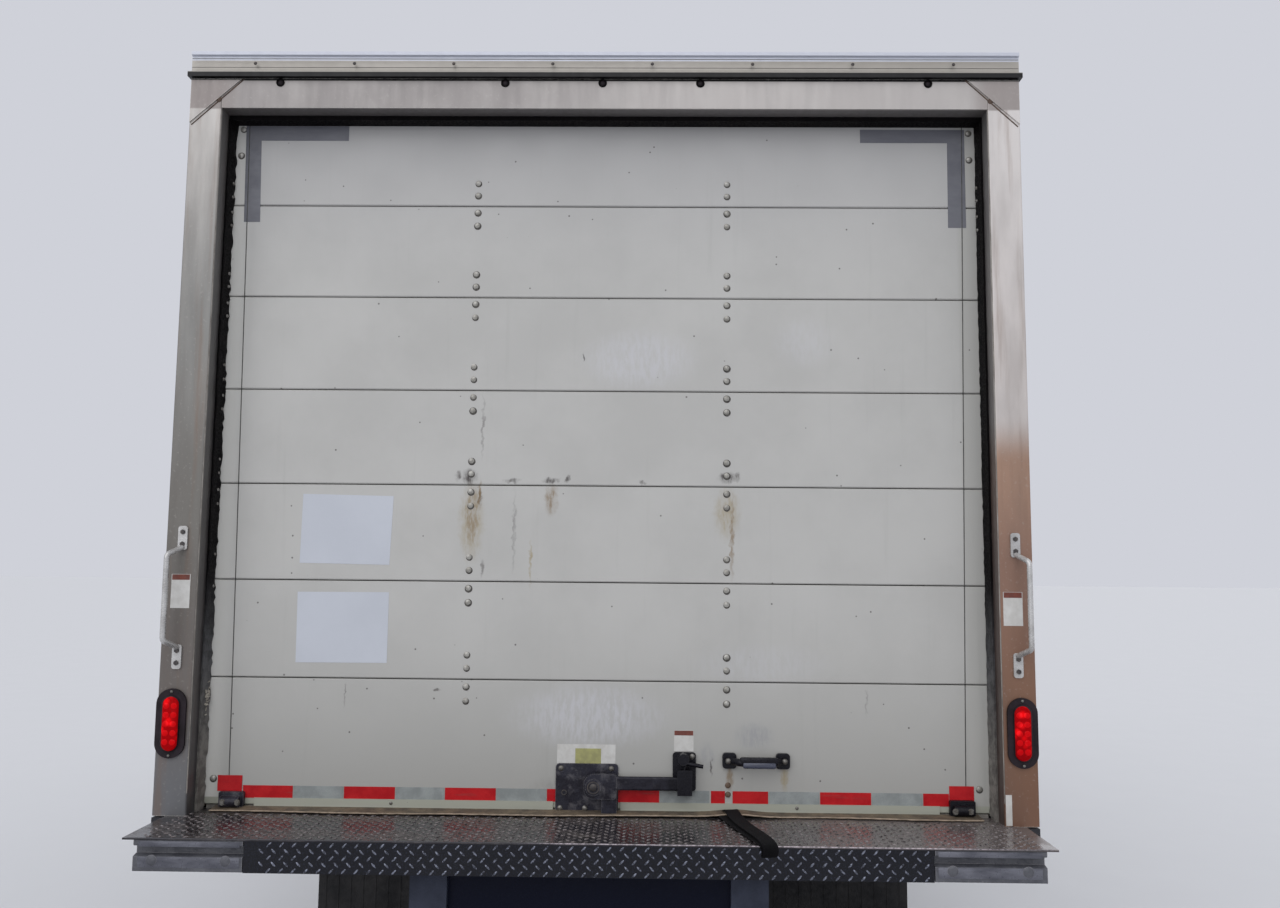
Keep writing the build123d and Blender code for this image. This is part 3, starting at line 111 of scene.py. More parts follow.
class Recipe:
    """A node material in the making: each method adds its nodes and returns the socket that they end in."""

    def __init__(self, name: str) -> None:
        """Starts the material with a bare shader.

        Args:
            name: The material's name.
        """
        self.material = bpy.data.materials.new(name)
        self.material.use_nodes = True
        self.tree = self.material.node_tree
        self.tree.nodes.clear()
        self.out = self.node("ShaderNodeOutputMaterial")
        self.shader = self.node("ShaderNodeBsdfPrincipled")
        self.tree.links.new(self.shader.outputs[0], self.out.inputs[0])
        self.place = self.node("ShaderNodeTexCoord").outputs["Object"]

    def node(self, kind: str, **settings: object) -> bpy.types.Node:
        """Adds a node.

        Args:
            kind: The node's type.
            settings: Its properties.

        Returns:
            The node.
        """
        made = self.tree.nodes.new(kind)
        for key, value in settings.items():
            setattr(made, key, value)
        return made

    def feed(self, socket: Socket, value: Input) -> None:
        """Links a socket, or sets it where the value is plain.

        Args:
            socket: The input to fill.
            value: Another socket, or its value.
        """
        if isinstance(value, bpy.types.NodeSocket):
            self.tree.links.new(value, socket)
        else:
            socket.default_value = value

    def set(self, **values: Input) -> None:
        """Fills the shader's own sockets, named with underscores for their spaces.

        Args:
            values: Each socket's value.
        """
        for key, value in values.items():
            self.feed(self.shader.inputs[key.replace("_", " ")], value)

    def mapped(self, scale: Place = (1, 1, 1), move: Place = (0, 0, 0), turn: Place = (0, 0, 0)) -> Socket:
        """The object's coordinates, scaled, turned and then moved.

        Args:
            scale: Factor along each axis.
            move: Distance along each axis.
            turn: Turn about each axis, in degrees.

        Returns:
            The mapped place.
        """
        made = self.node("ShaderNodeMapping")
        self.feed(made.inputs["Vector"], self.place)
        self.feed(made.inputs["Scale"], scale)
        self.feed(made.inputs["Location"], move)
        self.feed(made.inputs["Rotation"], [math.radians(angle) for angle in turn])
        return made.outputs[0]

    def noise(self, scale: float, place: Optional[Socket] = None, detail: float = 4.0,
              rough: float = 0.55) -> Socket:
        """Cloudy noise from 0 to 1.

        Args:
            scale: Clouds per metre.
            place: Where it is read, or None for the object's own place.
            detail: Octaves.
            rough: Strength of the finer ones.

        Returns:
            The noise value.
        """
        made = self.node("ShaderNodeTexNoise")
        self.feed(made.inputs["Vector"], place or self.mapped())
        for key, value in (("Scale", scale), ("Detail", detail), ("Roughness", rough)):
            self.feed(made.inputs[key], value)
        return made.outputs[0]

    def cells(self, scale: float, place: Optional[Socket] = None, feature: str = "F1") -> Socket:
        """Distance in a pattern of cells.

        Args:
            scale: Cells per metre.
            place: Where it is read, or None for the object's own place.
            feature: The distance's kind.

        Returns:
            The distance.
        """
        made = self.node("ShaderNodeTexVoronoi", feature=feature)
        self.feed(made.inputs["Vector"], place or self.mapped())
        self.feed(made.inputs["Scale"], scale)
        return made.outputs["Distance"]

    def step(self, value: Input, low: float, high: float, start: float = 0.0, end: float = 1.0) -> Socket:
        """A soft step between two levels.

        Args:
            value: What is stepped.
            low: Where the step starts.
            high: Where it ends.
            start: The result before it.
            end: The result after it.

        Returns:
            The stepped value.
        """
        made = self.node("ShaderNodeMapRange", interpolation_type="SMOOTHSTEP")
        for index, number in enumerate((value, low, high, start, end)):
            self.feed(made.inputs[index], number)
        return made.outputs[0]

    def maths(self, operation: str, first: Input, second: Input = 0.0) -> Socket:
        """One operation on two values.

        Args:
            operation: Its kind.
            first: Its first value.
            second: Its second value.

        Returns:
            The result.
        """
        made = self.node("ShaderNodeMath", operation=operation)
        self.feed(made.inputs[0], first)
        self.feed(made.inputs[1], second)
        return made.outputs[0]

    def times(self, first: Input, second: Input) -> Socket:
        """The product of two values."""
        return self.maths("MULTIPLY", first, second)

    def mix(self, amount: Input, first: Input, second: Input) -> Socket:
        """A colour between two others.

        Args:
            amount: 0 for the first, 1 for the second.
            first: The first colour.
            second: The second colour.

        Returns:
            The mixed colour.
        """
        made = self.node("ShaderNodeMix", data_type="RGBA")
        for index, value in ((0, amount), (6, first), (7, second)):
            self.feed(made.inputs[index], value)
        return made.outputs[2]

    def axis(self, index: int) -> Socket:
        """One coordinate of the place: 0, 1 or 2 for X, Y or Z."""
        made = self.node("ShaderNodeSeparateXYZ")
        self.feed(made.inputs[0], self.place)
        return made.outputs[index]

    def ramp(self, stops: tuple[tuple[float, Tone], ...], index: int = 2) -> Socket:
        """A colour that follows one coordinate.

        Args:
            stops: Place in metres and shade, from low to high.
            index: The coordinate: 0, 1 or 2 for X, Y or Z.

        Returns:
            The colour.
        """
        along, colour = self.axis(index), stops[0][1]
        for (low, _), (high, shade) in zip(stops, stops[1:]):
            colour = self.mix(self.step(along, low, high), colour, shade)
        return colour

    def ragged(self, size: float, scale: float) -> Socket:
        """The object's place, shifted about by noise.

        Args:
            size: How far it shifts, in metres.
            scale: Shifts per metre.

        Returns:
            The shifted place.
        """
        cloud = self.node("ShaderNodeTexNoise")
        self.feed(cloud.inputs["Vector"], self.mapped())
        self.feed(cloud.inputs["Scale"], scale)
        spread = self.node("ShaderNodeVectorMath", operation="MULTIPLY_ADD")
        self.feed(spread.inputs[0], cloud.outputs["Color"])
        self.feed(spread.inputs[1], (size, size, size))
        self.feed(spread.inputs[2], self.place)
        return spread.outputs[0]

    def spot(self, place: Socket, centre: Place, half: Place, soft: float = 0.6) -> Socket:
        """An oval mark on the rear, 1 in its middle.

        Args:
            place: Where it is read.
            centre: Its Y and Z.
            half: Its half width and half height.
            soft: The share of it over which it fades.

        Returns:
            The mark's strength.
        """
        across, up = 1 / half[0], 1 / half[1]
        made = self.node("ShaderNodeMapping")
        self.feed(made.inputs["Vector"], place)
        self.feed(made.inputs["Scale"], (0.0, across, up))
        self.feed(made.inputs["Location"], (0.0, -centre[0] * across, -centre[1] * up))
        length = self.node("ShaderNodeVectorMath", operation="LENGTH")
        self.feed(length.inputs[0], made.outputs[0])
        return self.step(length.outputs["Value"], 1.0, 1.0 - soft)

    def worn(self, radius: float) -> Socket:
        """Where the surface turns over an edge, from 0 to 1.

        Args:
            radius: How far from the edge it reaches, in metres.

        Returns:
            The wear.
        """
        rounded = self.node("ShaderNodeBevel", samples=4)
        self.feed(rounded.inputs["Radius"], radius)
        plain = self.node("ShaderNodeNewGeometry")
        dot = self.node("ShaderNodeVectorMath", operation="DOT_PRODUCT")
        self.feed(dot.inputs[0], rounded.outputs[0])
        self.feed(dot.inputs[1], plain.outputs["Normal"])
        turned = self.maths("SUBTRACT", 1.0, dot.outputs["Value"])
        patchy = self.step(self.noise(90), 0.3, 0.7, -0.1, 0.06)
        return self.step(self.maths("ADD", turned, patchy), 0.03, 0.16)

    def bump(self, height: Socket, distance: float, strength: float = 1.0,
             under: Optional[Socket] = None) -> Socket:
        """A normal pushed about by a height.

        Args:
            height: The relief, from 0 to 1.
            distance: Its depth in metres.
            strength: How much of it shows.
            under: A normal that it lies on.

        Returns:
            The normal.
        """
        made = self.node("ShaderNodeBump")
        self.feed(made.inputs["Strength"], strength)
        self.feed(made.inputs["Distance"], distance)
        self.feed(made.inputs["Height"], height)
        if under:
            self.feed(made.inputs["Normal"], under)
        return made.outputs[0]


@dataclass(frozen=True)
class Finish:
    """A painted, moulded or bare surface: its colour, the clouds in it, its grain and its wear."""

    name: str
    colour: Tone
    patch: Tone
    rough: tuple[float, float] = (0.35, 0.5)
    metal: float = 0.0
    clouds: float = 1.6
    stretch: Place = (1.0, 1.0, 1.0)
    grain: float = 160.0
    relief: float = 0.0002
    coat: float = 0.0
    bare: Optional[Tone] = None
    edge: float = 0.004
    shine: float = 0.5

    def material(self) -> bpy.types.Material:
        """The finish's material, made once."""
        if self.name not in MADE:
            recipe = Recipe(f"{self.name}_look")
            recipe.set(Metallic=self.metal, Coat_Weight=self.coat, Specular_IOR_Level=self.shine)
            self.dress(recipe)
            MADE[self.name] = recipe.material
        return MADE[self.name]

    def base(self, recipe: Recipe) -> Socket:
        """The clouded colour before the finish's own marks.

        Args:
            recipe: The material in the making.

        Returns:
            The colour.
        """
        cloud = recipe.step(recipe.noise(self.clouds, recipe.mapped(self.stretch), 6.0, 0.6), 0.32, 0.68)
        colour = recipe.mix(cloud, self.colour, self.patch)
        return recipe.mix(recipe.worn(self.edge), colour, self.bare) if self.bare else colour

    def grained(self, recipe: Recipe) -> Socket:
        """The surface's grain, stretched as its clouds are."""
        return recipe.bump(recipe.noise(self.grain, recipe.mapped(self.stretch), 3.0), self.relief)

    def fine(self, recipe: Recipe, under: Optional[Socket] = None) -> Socket:
        """The surface's even grain, over a broader relief where there is one."""
        return recipe.bump(recipe.noise(self.grain), self.relief, 1.0, under)

    def gloss(self, recipe: Recipe, cloud: Socket) -> Socket:
        """The roughness, from the first of its two values to the second as a cloud thickens."""
        return recipe.step(cloud, 0.3, 0.7, *self.rough)

    def dress(self, recipe: Recipe) -> None:
        """Fills the shader; a special finish does it in its own way.

        Args:
            recipe: The material in the making.
        """
        gloss = self.gloss(recipe, recipe.noise(self.clouds * 5, None, 5.0))
        recipe.set(Base_Color=self.base(recipe), Roughness=gloss, Normal=self.grained(recipe))


@dataclass(frozen=True)
class Mark:
    """A stain or scuff on the rear: its middle, half sizes, shade and strength."""

    y: float
    z: float
    half_y: float
    half_z: float
    shade: Tone
    strength: float = 0.7
    soft: float = 0.7


RUST = tone(120, 96, 60)
PALE_RUST = tone(156, 144, 118)
SOOT = tone(66, 60, 58)
# Painted shadow under the cap's lip, on the header's top edge and the cap's lower edge
CAP_LIP_SHADOW = tone(12, 10, 12)
SCUFF = tone(196, 196, 202)
GREY_SCUFF = tone(152, 152, 153)

DOOR_MARKS = (
    Mark(0.395, 1.990, 0.050, 0.150, PALE_RUST, 0.75),
    Mark(0.394, 2.010, 0.026, 0.120, RUST, 0.55),
    Mark(0.371, 2.062, 0.009, 0.034, SOOT, 0.75),
    Mark(0.359, 1.845, 0.006, 0.034, SOOT, 0.6),
    Mark(0.404, 2.126, 0.028, 0.034, SOOT, 1.0),
    Mark(0.372, 2.068, 0.007, 0.060, RUST, 0.9),
    Mark(0.440, 2.128, 0.012, 0.020, SOOT, 0.8),
    Mark(-0.397, 2.020, 0.050, 0.100, PALE_RUST, 0.75),
    Mark(-0.412, 1.950, 0.009, 0.160, RUST, 0.75),
    Mark(-0.396, 2.131, 0.032, 0.022, SOOT, 0.95),
    Mark(-0.430, 2.134, 0.012, 0.022, SOOT, 0.85),
    Mark(0.150, 2.060, 0.026, 0.060, RUST, 0.75),
    Mark(0.151, 2.119, 0.034, 0.011, SOOT, 0.9),
    Mark(0.099, 2.122, 0.008, 0.016, SOOT, 0.9),
    Mark(0.272, 2.116, 0.034, 0.009, SOOT, 0.7),
    Mark(-0.135, 2.113, 0.014, 0.009, SOOT, 0.8),
    Mark(0.262, 1.960, 0.007, 0.150, SOOT, 0.45),
    Mark(0.210, 1.860, 0.006, 0.090, PALE_RUST, 0.9),
    Mark(0.367, 2.287, 0.006, 0.120, SOOT, 0.5),
    Mark(0.056, 2.510, 0.004, 0.018, SOOT, 0.9),
    Mark(-0.120, 2.500, 0.220, 0.120, SCUFF, 0.5),
    Mark(-0.640, 2.560, 0.120, 0.100, SCUFF, 0.25),
    Mark(0.020, 1.400, 0.300, 0.120, SCUFF, 0.6),
    Mark(-0.500, 1.560, 0.260, 0.080, SCUFF, 0.25),
    Mark(0.490, 1.474, 0.014, 0.008, SOOT, 0.9),
    Mark(0.770, 1.453, 0.004, 0.050, SOOT, 0.5),
    Mark(-0.820, 1.450, 0.005, 0.050, SOOT, 0.45),
    Mark(-0.480, 1.345, 0.075, 0.055, GREY_SCUFF, 0.9),
    Mark(-0.405, 1.225, 0.016, 0.050, RUST, 0.7),
    Mark(-0.570, 1.225, 0.016, 0.055, PALE_RUST, 0.9),
    Mark(-0.335, 1.285, 0.032, 0.055, GREY_SCUFF, 0.7),
    Mark(-0.350, 1.252, 0.0045, 0.034, SOOT, 0.9),
    Mark(0.040, 1.185, 0.200, 0.050, SOOT, 0.25),
)


@dataclass(frozen=True)
class DoorSkin(Finish):
    """The roll-up door's painted face, with its rust runs, stains and pale scuffs, and painted shade and
    light towards its top, bottom and edges.
    """

    marks: tuple[Mark, ...] = DOOR_MARKS
    # Painted shade: top and low darken the face towards the top, under the header's overhang, and towards the
    # bottom
    top: Tone = tone(168, 167, 167)
    low: Tone = tone(163, 162, 158)
    ragged: float = 0.022

    def dress(self, recipe: Recipe) -> None:
        """Adds each mark in turn to the clouded paint.

        Args:
            recipe: The material in the making.
        """
        height = recipe.axis(2)
        colour = self.base(recipe)
        # Painted shade towards the top and the bottom
        colour = recipe.mix(recipe.step(height, 2.7, 3.25, 0.0, 0.8), colour, self.top)
        colour = recipe.mix(recipe.step(height, 1.75, 1.2, 0.0, 0.8), colour, self.low)
        across = recipe.axis(1)
        # Painted light and shade along the door's edges: lighter beside the left seal, against the seal's
        # shade, and a little darker along the right edge
        colour = recipe.mix(recipe.step(across, -1.118, -1.135), colour, tone(172, 171, 167))
        colour = recipe.mix(recipe.step(across, 1.118, 1.180, 0.0, 0.9), colour, tone(214, 213, 208))
        colour = recipe.mix(recipe.step(height, 1.1492, 1.1480), colour, tone(164, 165, 153))
        streaks = recipe.noise(22, recipe.mapped((0.0, 1.0, 0.05)), 5.0, 0.65)
        colour = recipe.mix(recipe.step(streaks, 0.56, 0.85, 0.0, 0.30), colour, tone(150, 149, 145))
        specks = recipe.step(recipe.cells(16, recipe.mapped((0, 1, 1))), 0.060, 0.030)
        colour = recipe.mix(recipe.times(specks, 0.8), colour, SOOT)
        place, drift = recipe.ragged(self.ragged, 60), self.ragged / 2
        patchy = recipe.step(recipe.noise(75, recipe.mapped((0, 1, 0.3)), 5.0, 0.7), 0.36, 0.62, 0.3, 1.0)
        for mark in self.marks:
            middle = (mark.y + drift, mark.z + drift)
            spot = recipe.spot(place, middle, (mark.half_y, mark.half_z), mark.soft)
            amount = recipe.times(spot, recipe.times(patchy, mark.strength))
            colour = recipe.mix(amount, colour, mark.shade)
        dents = recipe.bump(recipe.noise(2.2, None, 2.0), 0.004, 0.6)
        recipe.set(Base_Color=colour, Roughness=self.gloss(recipe, recipe.noise(7, None, 6.0)),
                   Normal=self.fine(recipe, dents))


@dataclass(frozen=True)
class StainedAndShadedSteel(Finish):
    """The doorway's brushed steel, darker downwards, and copper brown low on the right post, with painted
    shade on the faces inside the opening and a painted shadow under the cap.
    """

    def dress(self, recipe: Recipe) -> None:
        """Blends the two posts and the header.

        Args:
            recipe: The material in the making.
        """
        left = ((1.15, tone(106, 107, 110)), (1.5, tone(107, 101, 97)), (2.0, tone(113, 110, 105)),
                (2.6, tone(132, 131, 128)), (3.3, tone(188, 184, 180)))
        right = ((1.15, tone(118, 86, 68)), (1.4, tone(126, 92, 72)), (1.85, tone(142, 110, 94)),
                 (2.17, tone(170, 136, 115)), (2.32, tone(205, 198, 194)), (3.3, tone(210, 205, 202)))
        across = recipe.axis(1)
        out, side = recipe.maths("ABSOLUTE", across), recipe.step(across, -0.4, 0.4)
        post = recipe.mix(side, recipe.ramp(right), recipe.ramp(left))
        drips = recipe.step(recipe.noise(30, recipe.mapped((1, 1, 0.06)), 5.0, 0.6), 0.5, 0.8, 0.0, 0.5)
        post = recipe.mix(drips, post, tone(120, 92, 72))
        cloudy = recipe.step(recipe.noise(9, recipe.mapped((1, 1, 0.3)), 5.0), 0.35, 0.75, 0.0, 0.28)
        post = recipe.mix(cloudy, post, tone(92, 86, 82))
        header = recipe.mix(side, tone(176, 171, 168), tone(147, 142, 140))
        header = recipe.mix(recipe.step(recipe.noise(6), 0.4, 0.8, 0.0, 0.4), header, tone(186, 182, 178))
        header = recipe.mix(recipe.step(out, 1.13, 1.20, 0.0, 0.6), header, tone(132, 122, 118))
        # Painted shadow along the header's top edge, under the cap's lip
        header = recipe.mix(recipe.step(recipe.axis(2), 3.3625, 3.3645), header, CAP_LIP_SHADOW)
        colour = recipe.mix(recipe.step(recipe.axis(2), 3.268, 3.274), post, header)
        colour = recipe.mix(recipe.worn(0.003), colour, tone(190, 186, 180))
        # Painted shade on the faces inside the opening: the jamb returns and the header's underside
        inward = recipe.step(recipe.axis(0), -4.644, -4.632)
        inside = recipe.times(recipe.step(out, 1.27, 1.24), inward)
        colour = recipe.mix(recipe.times(inside, 0.75), colour, tone(74, 71, 72))
        brushed = recipe.noise(420, recipe.mapped(Grain.UPRIGHT.value), 3.0)
        gloss = self.gloss(recipe, recipe.noise(40, recipe.mapped((1, 1, 0.1))))
        recipe.set(Base_Color=colour, Roughness=gloss, Normal=recipe.bump(brushed, self.relief))


@dataclass(frozen=True)
class BrushedMetal(Finish):
    """Bare metal with brushed lines one way and dull oxide clouds."""

    lines: Grain = Grain.ACROSS

    def grained(self, recipe: Recipe) -> Socket:
        """The brushed lines over a few shallow dents."""
        brushed = recipe.noise(self.grain, recipe.mapped(self.lines.value), 3.0)
        return recipe.bump(brushed, self.relief, 1.0, recipe.bump(recipe.noise(6), 0.0008, 0.5))


@dataclass(frozen=True)
class CapMetal(BrushedMetal):
    """The roof edge: a bluish band over a beige one, and a painted shadow under the lip."""

    def base(self, recipe: Recipe) -> Socket:
        """The metal in its three bands.

        Args:
            recipe: The material in the making.

        Returns:
            The colour.
        """
        height = recipe.axis(2)
        # Painted shadow on the cap below its lip
        colour = recipe.mix(recipe.step(height, 3.384, 3.387), CAP_LIP_SHADOW, super().base(recipe))
        return recipe.mix(recipe.step(height, 3.4285, 3.4295), colour, tone(192, 195, 205))


@dataclass(frozen=True)
class SheetPaint(Finish):
    """White paint on the body's sheet sides, with rain streaks and road film low down."""

    film: Tone = tone(150, 146, 138)
    film_top: float = 1.7

    def dress(self, recipe: Recipe) -> None:
        """Adds streaks, road film and the soft waves of thin sheet.

        Args:
            recipe: The material in the making.
        """
        colour = self.base(recipe)
        streaks = recipe.noise(14, recipe.mapped((1, 1, 0.05)), 5.0, 0.65)
        colour = recipe.mix(recipe.step(streaks, 0.52, 0.8, 0.0, 0.24), colour, tone(182, 180, 174))
        low = recipe.step(recipe.axis(2), self.film_top, self.film_top - 0.75)
        film = recipe.times(low, recipe.step(recipe.noise(5, None, 6.0), 0.25, 0.8, 0.1, 0.75))
        colour = recipe.mix(film, colour, self.film)
        waves = recipe.bump(recipe.noise(1.3, None, 2.0), 0.0022, 0.4)
        recipe.set(Base_Color=colour, Roughness=self.gloss(recipe, recipe.noise(6, None, 5.0)),
                   Normal=self.fine(recipe, waves))


@dataclass(frozen=True)
class WetChequer(Finish):
    """The step's dark plate: wet and mirror-smooth in patches, muddy in others, with painted highlights paler
    on its right part and painted glints on its lip.
    """

    mud: Tone = tone(104, 98, 96)

    def dress(self, recipe: Recipe) -> None:
        """Mixes the wet patches, the mud and the worn edges.

        Args:
            recipe: The material in the making.
        """
        wet = recipe.step(recipe.noise(9, recipe.mapped((1, 0.6, 1)), 6.0), 0.38, 0.56)
        colour = self.base(recipe)
        up = recipe.step(recipe.axis(2), 1.108, 1.114)
        muddy = recipe.times(recipe.maths("SUBTRACT", 1.0, wet), up)
        colour = recipe.mix(recipe.times(muddy, 0.8), colour, self.mud)
        ripple = recipe.step(recipe.noise(34, recipe.mapped((2.2, 1, 1)), 4.0, 0.7), 0.42, 0.58, 0.0, 0.75)
        colour = recipe.mix(recipe.times(ripple, up), colour, tone(28, 25, 28))
        # Painted highlights: the tread paler towards the right, where the wet plate shines
        right = recipe.times(recipe.step(recipe.axis(1), -0.3, -0.8, 0.0, 0.6), up)
        colour = recipe.mix(right, colour, tone(138, 129, 127))
        # The lip's front: near black with a bluish speckle of wet drops, their glints painted
        beads = recipe.step(recipe.noise(240, None, 3.0), 0.48, 0.7)
        drop_glints = recipe.mix(beads, tone(5, 6, 15), tone(28, 31, 46))
        colour = recipe.mix(recipe.step(recipe.axis(2), 1.1125, 1.1095), colour, drop_glints)
        gloss = recipe.step(wet, 0.0, 1.0, self.rough[1], self.rough[0])
        recipe.set(Base_Color=colour, Roughness=gloss, Normal=self.fine(recipe))


@dataclass(frozen=True)
class FoldEdge(Finish):
    """The step's folded edge, worn pale on its right-hand part."""

    def base(self, recipe: Recipe) -> Socket:
        """The worn metal, by its place across the truck.

        Args:
            recipe: The material in the making.

        Returns:
            The colour.
        """
        stops = ((-1.2, tone(120, 114, 118)), (-0.9, tone(186, 174, 180)), (0.05, tone(178, 168, 174)),
                 (0.2, self.patch))
        scratched = recipe.step(recipe.noise(120), 0.4, 0.6, 0.0, 0.7)
        return recipe.mix(scratched, recipe.ramp(stops, 1), self.patch)


@dataclass(frozen=True)
class SealRubber(Finish):
    """The doorway's black rubber, greyed by road dirt low down and made paler still there as painted light
    against the recess's shade.
    """

    def base(self, recipe: Recipe) -> Socket:
        """The clouded rubber under its dirt and painted light.

        Args:
            recipe: The material in the making.

        Returns:
            The colour.
        """
        dirt = recipe.step(recipe.noise(40, None, 5.0), 0.35, 0.65, 0.55, 1.0)
        low = recipe.step(recipe.axis(2), 1.86, 1.50)
        # The grey film low down: road dirt, made lighter as painted light against the recess's shade
        film = recipe.ramp(((1.2, tone(134, 130, 125)), (1.6, tone(92, 92, 94))))
        return recipe.mix(recipe.times(low, dirt), super().base(recipe), film)


@dataclass(frozen=True)
class WornBlack(Finish):
    """The lock's black paint, rubbed grey on its plate and still dark on the keeper."""

    def base(self, recipe: Recipe) -> Socket:
        """The clouded paint with the rubbed patches.

        Args:
            recipe: The material in the making.

        Returns:
            The colour.
        """
        across = recipe.axis(1)
        keeper = recipe.step(across, -0.20, -0.23, 0.0, 0.8)
        colour = recipe.mix(keeper, super().base(recipe), tone(14, 13, 19))
        patchy = recipe.step(recipe.noise(24, None, 6.0, 0.65), 0.48, 0.68, 0.0, 0.6)
        rubbed = recipe.times(patchy, recipe.step(across, -0.09, -0.06))
        return recipe.mix(rubbed, colour, tone(104, 102, 106))


@dataclass(frozen=True)
class GuardPaint(Finish):
    """The guard's black paint: wet grey on the uprights, in deep shade between them."""

    def base(self, recipe: Recipe) -> Socket:
        """The clouded paint, darker between the uprights.

        Args:
            recipe: The material in the making.

        Returns:
            The colour.
        """
        inside = recipe.step(recipe.maths("ABSOLUTE", recipe.axis(1)), 0.3912, 0.3902)
        return recipe.mix(inside, super().base(recipe), tone(3, 7, 27))


@dataclass(frozen=True)
class Rubber(Finish):
    """Tyre rubber, dusty on its walls, with fine rings about the wheel's axle."""

    centre: Place = (3.8, 0.0, 0.465)

    def dress(self, recipe: Recipe) -> None:
        """Draws the rings, the dust and the scuffed wall.

        Args:
            recipe: The material in the making.
        """
        away = recipe.node("ShaderNodeVectorMath", operation="LENGTH")
        flat = recipe.mapped((1, 0, 1), (-self.centre[0], 0, -self.centre[2]))
        recipe.feed(away.inputs[0], flat)
        radius = away.outputs["Value"]
        rings = recipe.maths("SINE", recipe.times(radius, 900.0))
        wall = recipe.step(radius, 0.452, 0.440)
        dust = recipe.times(wall, recipe.step(recipe.noise(11, None, 5.0), 0.3, 0.75, 0.1, 0.6))
        colour = recipe.mix(dust, self.base(recipe), tone(92, 88, 82))
        relief = recipe.bump(recipe.step(rings, -1, 1), 0.0006, 0.5)
        recipe.set(Base_Color=colour, Roughness=self.gloss(recipe, recipe.noise(20)),
                   Normal=self.fine(recipe, relief))


@dataclass(frozen=True)
class Clear(Finish):
    """Glass or a clear moulding: light goes through it."""

    through: float = 1.0
    index: float = 1.45

    def dress(self, recipe: Recipe) -> None:
        """Sets the clear shader with a film of dust.

        Args:
            recipe: The material in the making.
        """
        film = recipe.step(recipe.noise(8, None, 6.0), 0.35, 0.85, *self.rough)
        recipe.set(Base_Color=self.base(recipe), Roughness=film, Transmission_Weight=self.through,
                   IOR=self.index, Normal=recipe.bump(recipe.noise(3, None, 1.0), self.relief))


@dataclass(frozen=True)
class LampLens(Finish):
    """A moulded lens with bright cells behind it, lit a little as the photograph's are."""

    glow: Tone = tone(255, 30, 40)
    power: float = 0.35
    pitch: float = 0.03

    def dress(self, recipe: Recipe) -> None:
        """Draws the prism dots over the lens colour.

        Args:
            recipe: The material in the making.
        """
        cell = recipe.step(recipe.cells(1 / self.pitch, recipe.mapped((0.2, 1, 1))), 0.5, 0.1)
        colour = recipe.mix(cell, self.base(recipe), self.glow)
        dots = recipe.cells(420)
        recipe.set(Base_Color=colour, Roughness=0.12, Emission_Color=colour, Emission_Strength=self.power,
                   Normal=recipe.bump(dots, 0.0006, 0.5))


@dataclass(frozen=True)
class Reflector(Finish):
    """Reflective tape: a fine honeycomb of cells, scratched and dusty."""

    def dress(self, recipe: Recipe) -> None:
        """Draws the honeycomb, seams and scratches.

        Args:
            recipe: The material in the making.
        """
        comb = recipe.cells(260, None, "DISTANCE_TO_EDGE")
        colour = recipe.mix(recipe.step(comb, 0.0, 0.08, 0.6, 0.0), self.base(recipe), self.patch)
        scratch = recipe.step(recipe.noise(60, recipe.mapped((1, 0.1, 1)), 6.0), 0.6, 0.75, 0.0, 0.35)
        colour = recipe.mix(scratch, colour, tone(96, 88, 84))
        recipe.set(Base_Color=colour, Roughness=0.3, Normal=recipe.bump(comb, 0.0004, 0.5))


@dataclass(frozen=True)
class Woven(Finish):
    """Cloth or webbing: crossed threads along two of the object's axes."""

    threads: float = 700.0
    across: int = 1
    along: int = 0

    def dress(self, recipe: Recipe) -> None:
        """Crosses two rows of threads.

        Args:
            recipe: The material in the making.
        """
        warp = recipe.maths("SINE", recipe.times(recipe.axis(self.across), self.threads))
        weft = recipe.maths("SINE", recipe.times(recipe.axis(self.along), self.threads))
        weave = recipe.step(recipe.times(warp, weft), -1, 1)
        colour = recipe.mix(recipe.times(weave, 0.5), self.base(recipe), self.patch)
        fuzz = recipe.bump(recipe.noise(1400), 0.0002, 0.6, recipe.bump(weave, 0.0008, 0.8))
        recipe.set(Base_Color=colour, Roughness=0.88, Sheen_Weight=0.02, Normal=fuzz)


@dataclass(frozen=True)
class Planks(Finish):
    """Laminated hardwood boards along the load floor."""

    width: float = 0.30

    def dress(self, recipe: Recipe) -> None:
        """Cuts the boards and draws their grain.

        Args:
            recipe: The material in the making.
        """
        row = recipe.maths("FRACT", recipe.times(recipe.axis(1), 1 / self.width))
        gap = recipe.step(recipe.maths("ABSOLUTE", recipe.maths("SUBTRACT", row, 0.5)), 0.488, 0.498)
        fibre = recipe.noise(70, recipe.mapped((0.05, 1, 1)), 6.0)
        colour = recipe.mix(recipe.step(fibre, 0.35, 0.7), self.base(recipe), self.patch)
        colour = recipe.mix(gap, colour, tone(40, 30, 22))
        recipe.set(Base_Color=colour, Roughness=0.55, Normal=recipe.bump(fibre, 0.0008, 0.7))


